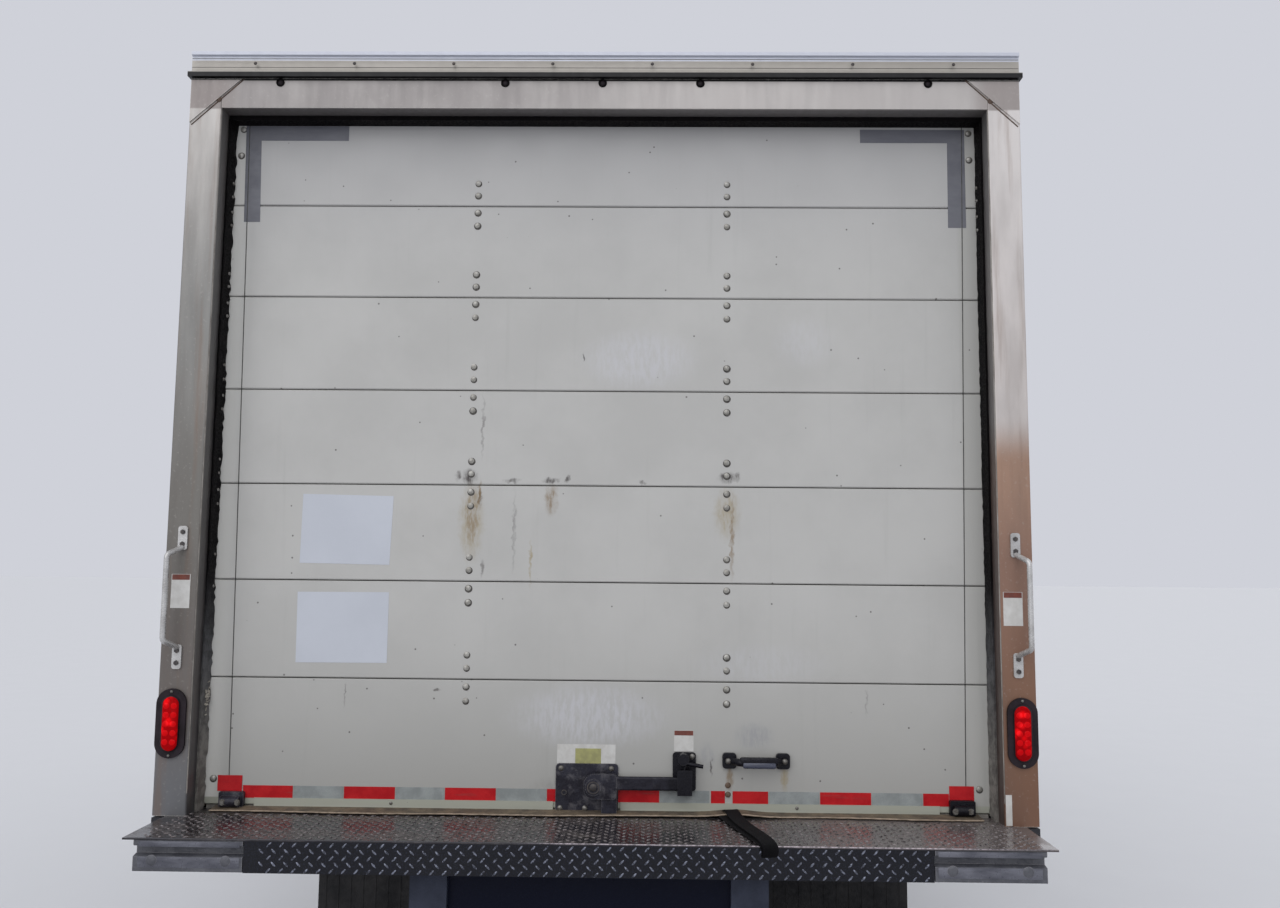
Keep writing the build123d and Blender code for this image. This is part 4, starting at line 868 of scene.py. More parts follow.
class Paint:
    """The truck's finishes, each named for what it covers."""

    BODY = SheetPaint("body_paint", tone(206, 207, 206), tone(197, 198, 197), (0.28, 0.42), coat=0.15)
    ROOF = SheetPaint("roof_paint", tone(200, 201, 200), tone(191, 191, 189), (0.35, 0.55), film_top=0.0)
    CAB = SheetPaint("cab_paint", tone(216, 218, 217), tone(209, 211, 210), (0.16, 0.26), coat=0.5,
                     film_top=1.15)
    BUMPER = SheetPaint("bumper_paint", tone(206, 207, 206), tone(194, 194, 192), (0.2, 0.32), coat=0.4,
                        film_top=0.95)
    RAIL = SheetPaint("rail_paint", tone(196, 197, 196), tone(180, 180, 178), (0.3, 0.45), film_top=1.5)
    DOOR = DoorSkin("door_skin", tone(183, 182, 179), tone(176, 175, 172), (0.32, 0.5), clouds=3.0,
                    relief=0.00008)
    STEEL = StainedAndShadedSteel("doorway_steel", tone(150, 145, 140), tone(130, 125, 120), (0.34, 0.52), metal=0.35)
    CAP = CapMetal("cap_metal", tone(160, 155, 147), tone(172, 167, 160), (0.35, 0.5), metal=0.3, grain=300,
                   clouds=8, stretch=(1, 0.1, 1))
    SEAL = SealRubber("seal_rubber", tone(7, 5, 7), tone(15, 12, 13), (0.5, 0.85), clouds=30, grain=300,
                      relief=0.0012, shine=0.1)
    HARDWARE = WornBlack("black_hardware", tone(30, 28, 36), tone(48, 48, 58), (0.22, 0.5), metal=0.2,
                         clouds=22, relief=0.0008, bare=tone(96, 94, 98), shine=0.25)
    # The grip's lower half, lighter and bluish: painted sheen beside the dark upper back in black_hardware
    GRIP = Finish("grip_plastic", tone(40, 42, 54), tone(74, 78, 96), (0.18, 0.35), clouds=8,
                  stretch=(1, 0.4, 3), shine=0.6)
    LAMP_RUBBER = Finish("lamp_rubber", tone(26, 20, 24), tone(40, 32, 38), (0.4, 0.65), clouds=25, shine=0.2)
    STEP = WetChequer("step_plate", tone(46, 45, 50), tone(66, 63, 67), (0.14, 0.36), metal=0.35, clouds=12,
                      bare=tone(128, 126, 130), edge=0.003, relief=0.0006)
    FLAP = Finish("flap_rubber", tone(30, 30, 32), tone(46, 45, 46), (0.5, 0.8), clouds=9, relief=0.0008,
                  shine=0.2)
    # The lugs' pale cloud patches are painted glints
    LIP = Finish("step_lug", tone(14, 16, 26), tone(134, 138, 154), (0.2, 0.4), metal=0.4, clouds=170)
    TREAD_LUG = Finish("tread_lug", tone(46, 42, 44), tone(142, 134, 134), (0.1, 0.3), metal=0.4, clouds=60)
    FOLD = FoldEdge("step_fold", tone(128, 126, 124), tone(58, 57, 62), (0.25, 0.45), metal=0.2)
    GUARD = GuardPaint("guard_paint", tone(46, 50, 62), tone(58, 62, 76), (0.3, 0.5), clouds=9, relief=0.001,
                       shine=0.12)
    END = Finish("end_block", tone(88, 89, 95), tone(66, 67, 74), (0.3, 0.6), clouds=16, relief=0.002,
                 bare=tone(128, 126, 130))
    END_WORN = Finish("end_worn", tone(108, 109, 118), tone(74, 75, 84), (0.25, 0.5), metal=0.3, clouds=30,
                      stretch=(1, 0.3, 1), relief=0.001)
    CHASSIS = Finish("chassis_paint", tone(36, 37, 43), tone(50, 49, 52), (0.42, 0.65), clouds=6,
                     relief=0.0006, shine=0.3)
    CAST = Finish("cast_metal", tone(74, 72, 72), tone(88, 82, 76), (0.5, 0.75), metal=0.3, clouds=12,
                  relief=0.002)
    TYRE_FRONT = Rubber("tyre_front", tone(40, 40, 42), tone(50, 49, 50), (0.6, 0.85), clouds=9,
                        relief=0.0005)
    TYRE_REAR = Rubber("tyre_rear", tone(40, 40, 42), tone(50, 49, 50), (0.6, 0.85), clouds=9, relief=0.0005,
                       centre=(-2.355, 0.0, 0.465))
    RIM = Finish("rim_paint", tone(204, 204, 200), tone(186, 184, 178), (0.3, 0.5), clouds=10, relief=0.0004,
                 bare=tone(150, 140, 128))
    GLASS = Clear("window_glass", tone(205, 218, 214), tone(196, 212, 208), (0.01, 0.06), relief=0.0001)
    PLASTIC = Finish("black_plastic", tone(42, 43, 46), tone(52, 53, 56), (0.4, 0.6), clouds=8, grain=900,
                     relief=0.0006)
    DASH = Finish("dash_plastic", tone(84, 86, 92), tone(92, 94, 99), (0.5, 0.7), clouds=6, grain=1100,
                  relief=0.0008)
    SEAT = Woven("seat_cloth", tone(74, 76, 84), tone(56, 58, 66), clouds=5, along=2, threads=1400)
    WEBBING = Woven("strap_webbing", tone(14, 13, 17), tone(7, 7, 9), clouds=18, threads=1800, shine=0.1)
    TANK = BrushedMetal("tank_metal", tone(190, 192, 195), tone(172, 174, 177), (0.2, 0.34), metal=0.85,
                        grain=260)
    EXHAUST = BrushedMetal("exhaust_steel", tone(126, 118, 110), tone(104, 86, 72), (0.35, 0.6), metal=0.6,
                           clouds=7)
    DECK = Planks("load_deck", tone(150, 118, 82), tone(120, 90, 60), clouds=3)
    CHROME = BrushedMetal("grille_chrome", tone(206, 207, 209), tone(190, 192, 195), (0.08, 0.18), metal=1.0,
                          grain=60, relief=0.00004)
    LAMP = Clear("lamp_clear", tone(226, 230, 233), tone(214, 220, 224), (0.03, 0.1))
    # The amber lens glows a little: lamp light on the marker lamps and signal bowls, painted light on the
    # fender reflectors
    AMBER = LampLens("amber_lens", tone(196, 104, 20), tone(168, 82, 14), glow=tone(236, 150, 48), power=0.1)
    RED = LampLens("red_lens", tone(150, 2, 6), tone(112, 1, 5), glow=tone(214, 8, 14), power=0.4, shine=0.04)
    RED_CELL = LampLens("red_cell", tone(188, 9, 15), tone(152, 5, 10), glow=tone(236, 24, 30), power=0.4,
                        shine=0.04)
    DOOR_BOLT = Finish("door_bolt", tone(176, 174, 168), tone(140, 137, 130), (0.22, 0.4), metal=0.35,
                       clouds=70)
    BOLT = Finish("bolt_head", tone(132, 130, 126), tone(98, 94, 88), (0.2, 0.4), metal=0.55, clouds=60)
    HANDLE = BrushedMetal("handle_steel", tone(198, 197, 196), tone(172, 170, 168), (0.2, 0.35), metal=0.5,
                          clouds=20)
    RUSTY = Finish("rusty_bolt", tone(120, 100, 84), tone(88, 72, 62), (0.5, 0.75), metal=0.3, clouds=80)
    DARK_BOLT = Finish("dark_bolt", tone(60, 58, 60), tone(84, 78, 74), (0.35, 0.6), metal=0.4, clouds=70)
    # Dark rings round the door bolts: grime, with painted shadow below and to the right
    GRIME = Finish("bolt_grime", tone(46, 43, 41), tone(92, 89, 84), (0.6, 0.8), clouds=120)
    SEAM = Finish("seam_bead", tone(60, 60, 58), tone(84, 83, 80), (0.6, 0.8), clouds=30)
    WELD = Finish("weld_seam", tone(58, 46, 40), tone(96, 76, 62), (0.6, 0.8), clouds=50)
    REPAIR = Finish("repair_tape", tone(92, 93, 101), tone(104, 105, 112), (0.35, 0.55), clouds=14,
                    stretch=(1, 0.3, 1), relief=0.0005)
    PATCH = Finish("white_patch", tone(190, 194, 203), tone(185, 189, 198), (0.3, 0.4), clouds=4)
    RED_TAPE = Reflector("red_tape", tone(194, 38, 42), tone(170, 24, 32), clouds=20, shine=0.15)
    WHITE_TAPE = Reflector("white_tape", tone(156, 161, 161), tone(134, 139, 139), clouds=20, shine=0.2)
    LABEL = Finish("blank_label", tone(204, 203, 200), tone(188, 186, 182), (0.35, 0.5), clouds=30)
    LABEL_GREEN = Finish("label_green", tone(166, 164, 106), tone(144, 142, 96), (0.35, 0.5), clouds=40)
    LABEL_RED = Finish("label_red", tone(98, 48, 38), tone(116, 58, 44), (0.35, 0.5), clouds=60)
    FOAM = Finish("torn_foam", tone(176, 170, 158), tone(130, 124, 116), (0.8, 0.95), clouds=120,
                  relief=0.002)
    SILL = Finish("sill_rubber", tone(112, 98, 80), tone(78, 68, 58), (0.6, 0.85), clouds=26, relief=0.0015)
    # The sill strip's edge bead: its paler tan is a painted highlight on the rolled edge
    SILL_EDGE = Finish("sill_edge", tone(168, 150, 132), tone(128, 114, 98), (0.6, 0.85), clouds=40)
    LIGHT_EDGE = Finish("bright_edge", tone(152, 148, 142), tone(112, 106, 100), (0.3, 0.5), metal=0.4,
                        clouds=14)


# Which finish each frame node shows
NODE_FINISH: dict[str, Finish] = {
    **dict.fromkeys(("chassis_frame", "front_springs", "rear_springs", "driveshaft", "radiator", "tie_rod",
                     "body_subframe"), Paint.CHASSIS),
    **dict.fromkeys(("front_axle", "rear_axle", "engine", "knuckle_left", "knuckle_right"), Paint.CAST),
    **dict.fromkeys(("body_front_wall", "body_side_left", "body_side_right"), Paint.BODY),
    **dict.fromkeys(("cab_front", "cab_rear", "door_left", "door_right", "hood"), Paint.CAB),
    **dict.fromkeys(("cab_glass", "door_glass_left", "door_glass_right"), Paint.GLASS),
    **dict.fromkeys(("front_tyre_left", "front_tyre_right"), Paint.TYRE_FRONT),
    **dict.fromkeys(("rear_tyre_left", "rear_tyre_right"), Paint.TYRE_REAR),
    **dict.fromkeys(("front_rim_left", "front_rim_right", "rear_rim_left", "rear_rim_right"), Paint.RIM),
    **dict.fromkeys(("mirror_left", "mirror_right", "battery_box"), Paint.PLASTIC),
    **dict.fromkeys(("dashboard", "steering_wheel"), Paint.DASH),
    **dict.fromkeys(("fuel_tank", "cab_steps"), Paint.TANK),
    "rear_frame": Paint.STEEL, "grab_handles": Paint.HANDLE, "rear_guard": Paint.GUARD,
    "exhaust": Paint.EXHAUST, "front_bumper": Paint.BUMPER, "bottom_rails": Paint.RAIL,
    "body_floor": Paint.DECK, "rear_cap": Paint.CAP, "door_seals": Paint.SEAL,
    "door_hardware": Paint.HARDWARE, "rear_door": Paint.DOOR, "pull_strap": Paint.WEBBING,
    "tail_lamps": Paint.LAMP_RUBBER, "step_tread": Paint.STEP, "step_ends": Paint.END,
    "mud_flaps": Paint.FLAP, "marker_lamps": Paint.AMBER, "body_roof": Paint.ROOF, "seats": Paint.SEAT,
    "headlamps": Paint.LAMP, "grille": Paint.CHROME,
}


def facing(point: Place, direction: Place, turn: float = 0.0) -> Matrix:
    """A place whose own Z looks one way.

    Args:
        point: Where it is.
        direction: Where its Z looks.
        turn: Its turn about that Z, in degrees.

    Returns:
        The placing matrix.
    """
    looking = Vector(direction).to_track_quat("Z", "Y").to_matrix().to_4x4()
    return Matrix.Translation(Vector(point)) @ looking @ Matrix.Rotation(math.radians(turn), 4, "Z")


def placed(name: str, data: bpy.types.ID) -> bpy.types.Object:
    """Puts a new object into the scene.

    Args:
        name: Its name.
        data: Its mesh, camera or light.

    Returns:
        The object.
    """
    made = bpy.data.objects.new(name, data)
    bpy.context.scene.collection.objects.link(made)
    return made


class Shape:
    """A mesh in the making, from bmesh operators. Most methods add to it and return it."""

    def __init__(self) -> None:
        """Starts with nothing in it."""
        self.bm = bmesh.new()

    def eased(self, edges: Iterable[bmesh.types.BMEdge], radius: float) -> "Shape":
        """Rounds some of its edges.

        Args:
            edges: The edges.
            radius: The radius that they get.

        Returns:
            The shape.
        """
        bmesh.ops.bevel(self.bm, geom=list(edges), offset=radius, offset_type="OFFSET", segments=2,
                        profile=0.5, affect="EDGES", material=-1, clamp_overlap=True)
        return self

    def block(self, low: Place, high: Place, ease: float = 0.0) -> "Shape":
        """Adds a box between two corners.

        Args:
            low: Its lowest corner.
            high: Its highest corner.
            ease: Radius of its rounded edges.

        Returns:
            The shape.
        """
        first, second = Vector(low), Vector(high)
        place = Matrix.LocRotScale((first + second) / 2, None, second - first)
        made = bmesh.ops.create_cube(self.bm, size=1.0, matrix=place)
        if ease:
            self.eased({edge for vert in made["verts"] for edge in vert.link_edges}, ease)
        return self

    def rod(self, start: Place, end: Place, radius: float, sides: int = 16, tip: Optional[float] = None,
            ease: float = 0.0) -> "Shape":
        """Adds a round or tapered bar.

        Args:
            start: The middle of its first end.
            end: The middle of its other end.
            radius: Its radius at the start.
            sides: Its facets.
            tip: Its radius at the end, where that differs.
            ease: Radius of its rounded rims.

        Returns:
            The shape.
        """
        first, run = Vector(start), Vector(end) - Vector(start)
        made = bmesh.ops.create_cone(self.bm, cap_ends=True, segments=sides, radius1=radius, depth=run.length,
                                     radius2=radius if tip is None else tip,
                                     matrix=facing(first + run / 2, run))
        if ease:
            flat = {face for vert in made["verts"] for face in vert.link_faces if len(face.verts) == sides}
            self.eased({edge for face in flat for edge in face.edges}, ease)
        return self

    def dome(self, place: Matrix, radius: float, height: float, sides: int = 12, rows: int = 6) -> "Shape":
        """Adds a squashed ball, half sunk where it sits.

        Args:
            place: Its seat; the ball swells along its Z.
            radius: Its radius on the seat.
            height: How far it stands up.
            sides: Its facets around.
            rows: Its facets from pole to pole.

        Returns:
            The shape.
        """
        squash = Matrix.Diagonal((radius, radius, height, 1.0))
        bmesh.ops.create_uvsphere(self.bm, u_segments=sides, v_segments=rows, radius=1.0,
                                  matrix=place @ squash)
        return self

    def plate(self, corners: Sequence[Place], thick: Place, ease: float = 0.0) -> "Shape":
        """Adds a flat plate.

        Args:
            corners: Its outline in order.
            thick: The way and length of its thickness.
            ease: Radius of its rounded outline edges.

        Returns:
            The shape.
        """
        verts = [self.bm.verts.new(corner) for corner in corners]
        grown = bmesh.ops.extrude_face_region(self.bm, geom=[self.bm.faces.new(verts)])
        moved = [item for item in grown["geom"] if isinstance(item, bmesh.types.BMVert)]
        bmesh.ops.translate(self.bm, verts=moved, vec=Vector(thick))
        if ease:
            self.eased([edge for edge in self.bm.edges if all(vert in moved for vert in edge.verts)], ease)
        return self

    def lathe(self, profile: Outline, place: Matrix, steps: int = 48, closed: bool = False) -> "Shape":
        """Adds a turned form.

        Args:
            profile: Radius and height of each point.
            place: Its seat; it is turned about its Z.
            steps: Facets around.
            closed: Whether the profile's last point joins its first.

        Returns:
            The shape.
        """
        start = Shape()
        verts = [start.bm.verts.new((radius, 0.0, height)) for radius, height in profile]
        pairs = list(zip(verts, verts[1:])) + ([(verts[-1], verts[0])] if closed else [])
        edges = [start.bm.edges.new(pair) for pair in pairs]
        bmesh.ops.spin(start.bm, geom=verts + edges, cent=(0, 0, 0), axis=(0, 0, 1), angle=math.tau,
                       steps=steps, use_merge=True, use_duplicate=False)
        bmesh.ops.remove_doubles(start.bm, verts=start.bm.verts, dist=1e-6)
        return self.stamp(start, [place])

    def pipe(self, points: Sequence[Place], radius: float, sides: int = 8, smooth: bool = True) -> "Shape":
        """Adds a bent bar that follows a line.

        Args:
            points: The line's points.
            radius: The bar's radius.
            sides: Its facets around.
            smooth: Whether the line curves through them.

        Returns:
            The shape.
        """
        curve = bpy.data.curves.new("bent", "CURVE")
        curve.dimensions = "3D"
        curve.bevel_depth, curve.bevel_resolution, curve.use_fill_caps = radius, max(0, sides // 2 - 2), True
        line = curve.splines.new("NURBS" if smooth else "POLY")
        line.points.add(len(points) - 1)
        for spot, point in zip(line.points, points):
            spot.co = (*point, 1.0)
        if smooth:
            line.order_u, line.use_endpoint_u, line.resolution_u = 3, True, 4
        holder = bpy.data.objects.new("bent", curve)
        mesh = bpy.data.meshes.new_from_object(holder)
        self.bm.from_mesh(mesh)
        bpy.data.objects.remove(holder)
        bpy.data.curves.remove(curve)
        bpy.data.meshes.remove(mesh)
        return self

    def stamp(self, pattern: "Shape", places: Iterable[Matrix]) -> "Shape":
        """Adds a small shape at many places.

        Args:
            pattern: The small shape, which is used up.
            places: Where each copy goes.

        Returns:
            The shape.
        """
        mesh = pattern.baked("pattern")
        for place in places:
            copy = mesh.copy()
            copy.transform(place)
            self.bm.from_mesh(copy)
            bpy.data.meshes.remove(copy)
        bpy.data.meshes.remove(mesh)
        return self

    def join(self, other: "Shape") -> "Shape":
        """Adds another shape, which is used up, where it lies."""
        return self.stamp(other, [Matrix.Identity(4)])

    def mirrored(self) -> "Shape":
        """Adds its own mirror image across the truck's centre plane."""
        mesh = bpy.data.meshes.new("half")
        self.bm.to_mesh(mesh)
        mesh.transform(Matrix.Diagonal((1, -1, 1, 1)))
        self.bm.from_mesh(mesh)
        bpy.data.meshes.remove(mesh)
        return self

    def moved(self, place: Matrix) -> "Shape":
        """Moves all of it by a matrix."""
        bmesh.ops.transform(self.bm, matrix=place, verts=self.bm.verts)
        return self

    def thicken(self, wall: float) -> "Shape":
        """Gives its open sheet a wall, once its normals agree.

        Args:
            wall: The wall's thickness.

        Returns:
            The shape.
        """
        faces = self.bm.faces[:]
        bmesh.ops.recalc_face_normals(self.bm, faces=faces)
        bmesh.ops.solidify(self.bm, geom=faces, thickness=wall)
        return self

    def baked(self, name: str) -> bpy.types.Mesh:
        """Turns the shape, which is used up, into a mesh.

        Args:
            name: The mesh's name.

        Returns:
            The mesh.
        """
        mesh = bpy.data.meshes.new(name)
        self.bm.to_mesh(mesh)
        self.bm.free()
        return mesh

    def piece(self, name: str, finish: Finish, slot: str, body: str = "root",
              crease: float = 35.0) -> bpy.types.Object:
        """Ends the shape as a finished piece.

        Args:
            name: The piece's name.
            finish: Its finish.
            slot: A material slot's name; it is not used.
            body: The body that it rides on.
            crease: The angle past which an edge is sharp, in degrees.

        Returns:
            The piece.
        """
        bmesh.ops.recalc_face_normals(self.bm, faces=self.bm.faces)
        mesh = self.baked(name)
        mesh.shade_smooth()
        mesh.set_sharp_from_angle(angle=math.radians(crease))
        mesh.materials.append(finish.material())
        made = placed(name, mesh)
        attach(made, body)
        log.info("%s: %d faces on %s", name, len(mesh.polygons), body)
        return made


def round_head(radius: float, height: float, sides: int = 12) -> Shape:
    """A round bolt head on the XY plane."""
    return Shape().dome(Matrix.Identity(4), radius, height, sides)


def hex_head(radius: float, height: float) -> Shape:
    """A hexagon head with a washer under it, on the XY plane."""
    washer = Shape().rod((0, 0, 0), (0, 0, height * 0.25), radius * 1.25, 14)
    return washer.rod((0, 0, 0), (0, 0, height), radius, 6, radius * 0.93)


def on_rear(y: float, z: float, x: float = DOOR_FACE, turn: float = 0.0) -> Matrix:
    """A place on a rear face, looking back from the truck."""
    return facing((x, y, z), (-1, 0, 0), turn)


def lug_head() -> Shape:
    """A tapered lug of unit size on the XY plane, to be scaled where it is stamped."""
    return Shape().rod((0, 0, -0.5), (0, 0, 1), 1.0, 8, 0.55)


def label(y: tuple[float, float], z: tuple[float, float], x: float = DOOR_FACE,
          thick: float = 0.0006) -> Shape:
    """A thin rectangle stuck on a rear face.

    Args:
        y: Its two edges across.
        z: Its two edges in height.
        x: The face that it is on.
        thick: Its thickness.

    Returns:
        The shape.
    """
    return Shape().block((x - thick, min(y), min(z)), (x + SUNK, max(y), max(z)))


@dataclass
class Studio:
    """The camera at the photograph's place, the soft light and the pale ground."""

    spot: Place = (-7.882, -0.180, 1.856)
    yaw: float = 0.93
    pitch: float = 5.93
    roll: float = -0.53
    lens: float = 30.375
    sky_light: float = 0.72
    key_light: float = 1.15
    fill_light: float = 0.55
    ground: Tone = tone(204, 205, 209)
    backdrop: Tone = tone(207, 209, 217)
    ground_half: float = 120.0

    def camera(self) -> None:
        """Sets the camera to the view that the photograph was taken from."""
        ahead, right, up = Vector((1, 0, 0)), Vector((0, -1, 0)), Vector((0, 0, 1))
        turn = Matrix.Rotation(math.radians(self.yaw), 3, up)
        ahead, right = turn @ ahead, turn @ right
        lift = Matrix.Rotation(math.radians(self.pitch), 3, right)
        ahead, up = lift @ ahead, lift @ up
        tilt = Matrix.Rotation(math.radians(self.roll), 3, ahead)
        right, up = tilt @ right, tilt @ up
        axes = Matrix((right, up, -ahead)).transposed().to_4x4()
        made = placed("camera", bpy.data.cameras.new("camera"))
        made.data.lens, made.data.sensor_width = self.lens, 36.0
        made.data.clip_end = 400.0
        made.matrix_world = Matrix.Translation(Vector(self.spot)) @ axes
        bpy.context.scene.camera = made
        bpy.context.scene.view_settings.view_transform = "Standard"

    def sky(self) -> None:
        """Lights the scene from all round, and shows the plain backdrop where a ray meets the sky."""
        world = bpy.data.worlds.new("studio")
        bpy.context.scene.world = world
        world.use_nodes = True
        nodes, links = world.node_tree.nodes, world.node_tree.links
        nodes.clear()
        out, blend = nodes.new("ShaderNodeOutputWorld"), nodes.new("ShaderNodeMixShader")
        shown, light = nodes.new("ShaderNodeBackground"), nodes.new("ShaderNodeBackground")
        shown.inputs["Color"].default_value = self.backdrop
        light.inputs["Color"].default_value = tone(248, 250, 255)
        light.inputs["Strength"].default_value = self.sky_light
        ray = nodes.new("ShaderNodeLightPath").outputs
        either, clear = nodes.new("ShaderNodeMath"), nodes.new("ShaderNodeMath")
        either.operation = clear.operation = "MAXIMUM"
        for source, target in ((ray["Is Camera Ray"], either.inputs[0]),
                               (ray["Is Glossy Ray"], either.inputs[1]),
                               (ray["Is Transmission Ray"], clear.inputs[1]),
                               (either.outputs[0], clear.inputs[0]), (clear.outputs[0], blend.inputs[0]),
                               (light.outputs[0], blend.inputs[1]), (shown.outputs[0], blend.inputs[2]),
                               (blend.outputs[0], out.inputs[0])):
            links.new(source, target)

    def lamp(self, name: str, direction: Place, power: float, spread: float) -> None:
        """Adds one soft lamp.

        Args:
            name: Its name.
            direction: The way that it shines.
            power: Its strength.
            spread: Its angle across, in degrees.
        """
        light = bpy.data.lights.new(name, "SUN")
        light.energy, light.angle = power, math.radians(spread)
        made = placed(name, light)
        made.rotation_euler = Vector(direction).to_track_quat("-Z", "Y").to_euler()

    def floor(self) -> None:
        """Lays the pale ground under the truck."""
        shape = Shape()
        bmesh.ops.create_grid(shape.bm, x_segments=2, y_segments=2, size=self.ground_half)
        mesh = shape.baked("ground")
        paint = Finish("ground_paint", self.ground, self.ground, (0.7, 0.8), clouds=0.5)
        mesh.materials.append(paint.material())
        made = placed("ground", mesh)

    def build(self) -> None:
        """Sets up the whole studio."""
        self.camera()
        self.sky()
        self.lamp("key", (0.72, -0.28, -0.62), self.key_light, 70.0)
        self.lamp("fill", (-0.62, 0.5, -0.6), self.fill_light, 90.0)
        self.floor()
        log.info("studio is set")


@dataclass
class RollDoor:
    """The roll-up door's bolts, beads, tapes, patches and labels."""

    columns: tuple[float, float] = (0.400, -0.395)
    seam: float = 1.508
    pitch: float = 0.298
    seams: int = 6
    offsets: tuple[float, ...] = (0.074, 0.034, -0.022, -0.065)
    bolt: float = 0.0092
    edge_bolts: Outline = ((1.166, 3.250), (1.170, 3.163), (-1.165, 3.244), (-1.166, 3.156), (1.163, 1.204),
                           (-1.154, 1.199))
    tape_z: tuple[float, float] = (1.147, 1.184)
    tape_x: float = DOOR_FACE - 0.0004
    reds: Outline = ((1.070, 0.918), (0.762, 0.607), (0.455, 0.301), (0.146, 0.120), (-0.068, -0.193),
                     (-0.349, -0.391), (-0.414, -0.521), (-0.677, -0.830), (-0.986, -1.063))
    whites: Outline = ((0.916, 0.764), (0.605, 0.457), (0.299, 0.148), (-0.195, -0.344), (-0.523, -0.675),
                       (-0.832, -0.984))
    corner_left: Outline = ((0.823, 3.212), (1.106, 3.212), (1.099, 2.942), (1.151, 2.942), (1.157, 3.2605),
                            (0.823, 3.2605))
    corner_right: Outline = ((0.821, 3.210), (1.098, 3.210), (1.096, 2.932), (1.153, 2.932), (1.153, 3.254),
                             (0.821, 3.254))

    def bolts(self) -> None:
        """Sets the hinge bolts through the panels with the grime and painted shadow about them, and the
        bottom rail's screws.
        """
        places = [(y, self.seam + self.pitch * row + step) for y in self.columns for row in range(self.seams)
                  for step in self.offsets]
        places += self.edge_bolts
        heads = [on_rear(y, z) for y, z in places]
        Shape().stamp(round_head(self.bolt, 0.0052), heads).piece("door_bolts", Paint.DOOR_BOLT, "door_skin")
        chance = random.Random(4)
        # Each ring sits a little low and to the right of its bolt: grime, with painted shadow on that side
        rings = Shape()
        for y, z in places:
            reach, low = self.bolt * chance.uniform(1.10, 1.34), z - 0.0022
            rings.rod((DOOR_FACE + 0.0002, y - 0.001, low), (DOOR_FACE - 0.0004, y - 0.001, low), reach, 14)
        rings.piece("door_bolt_grime", Paint.GRIME, "door_skin")
        rusty = [on_rear(-0.400, z, self.tape_x) for z in (1.201, 1.174)]
        Shape().stamp(round_head(0.009, 0.005), rusty).piece("door_low_bolts", Paint.RUSTY, "door_skin")
        screws = [on_rear(y, 1.137, DOOR_FACE - 0.005) for y in (0.617, -0.607)]
        Shape().stamp(round_head(0.0055, 0.003, 8), screws).piece("rail_screws", Paint.BOLT, "door_skin")
        flange = Shape()
        for low, high in ((-1.034, -0.076), (0.127, 1.034)):
            flange.block((DOOR_FACE - 0.0046, low, 1.1212), (DOOR_FACE - 0.0005, high, 1.1304), 0.001)
        flange.piece("rail_flange", Paint.DOOR, "door_skin")

    def beads(self) -> None:
        """Lays the dark beads that run up near the door's two edges."""
        shape = Shape()
        for low, high in ((1.113, 1.146), (-1.113, -1.145)):
            shape.pipe([(DOOR_FACE, low, 1.130), (DOOR_FACE, high, 3.270)], 0.0016, 6, False)
        shape.piece("door_edge_beads", Paint.SEAM, "black_rubber")

    def tapes(self) -> None:
        """Sticks on the corner tapes, white patches, reflective tape and blank labels."""
        corners = Shape()
        for sign, outline in ((1, self.corner_left), (-1, self.corner_right)):
            corners.plate([(DOOR_FACE + SUNK, sign * y, z) for y, z in outline], (-0.0010, 0, 0))
        corners.piece("corner_tape", Paint.REPAIR, "door_skin")
        patches = Shape()
        for outline in (((0.923, 2.071), (0.640, 2.066), (0.647, 1.853), (0.926, 1.857)),
                        ((0.928, 1.768), (0.645, 1.769), (0.645, 1.554), (0.926, 1.553))):
            patches.plate([(DOOR_FACE + SUNK, y, z) for y, z in outline], (-0.0009, 0, 0))
        patches.piece("white_patches", Paint.PATCH, "door_skin")
        lifted = (((1.073, 1.148), (1.166, 1.213)), ((-1.064, -1.138), (1.164, 1.207)))
        for name, finish, runs, ends in (("red_tape", Paint.RED_TAPE, self.reds, lifted),
                                         ("white_tape", Paint.WHITE_TAPE, self.whites, ())):
            strip = Shape()
            for run in runs:
                strip.join(label(run, self.tape_z, self.tape_x))
            for run, z in ends:
                strip.join(label(run, z, self.tape_x - 0.0008))
            strip.piece(name, finish, "door_skin")
        signs = (("label_lock", (-0.060, 0.117), (1.260, 1.317), 0.0006, Paint.LABEL),
                 ("label_lock_mark", (-0.016, 0.062), (1.257, 1.305), 0.0010, Paint.LABEL_GREEN),
                 ("label_keeper", (-0.237, -0.296), (1.300, 1.362), 0.0006, Paint.LABEL),
                 ("label_keeper_band", (-0.238, -0.295), (1.347, 1.361), 0.0010, Paint.LABEL_RED))
        for name, y, z, thick, finish in signs:
            label(y, z, DOOR_FACE, thick).piece(name, finish, "door_skin")

    def build(self) -> None:
        """Builds all that is fixed to the door's face."""
        self.bolts()
        self.beads()
        self.tapes()


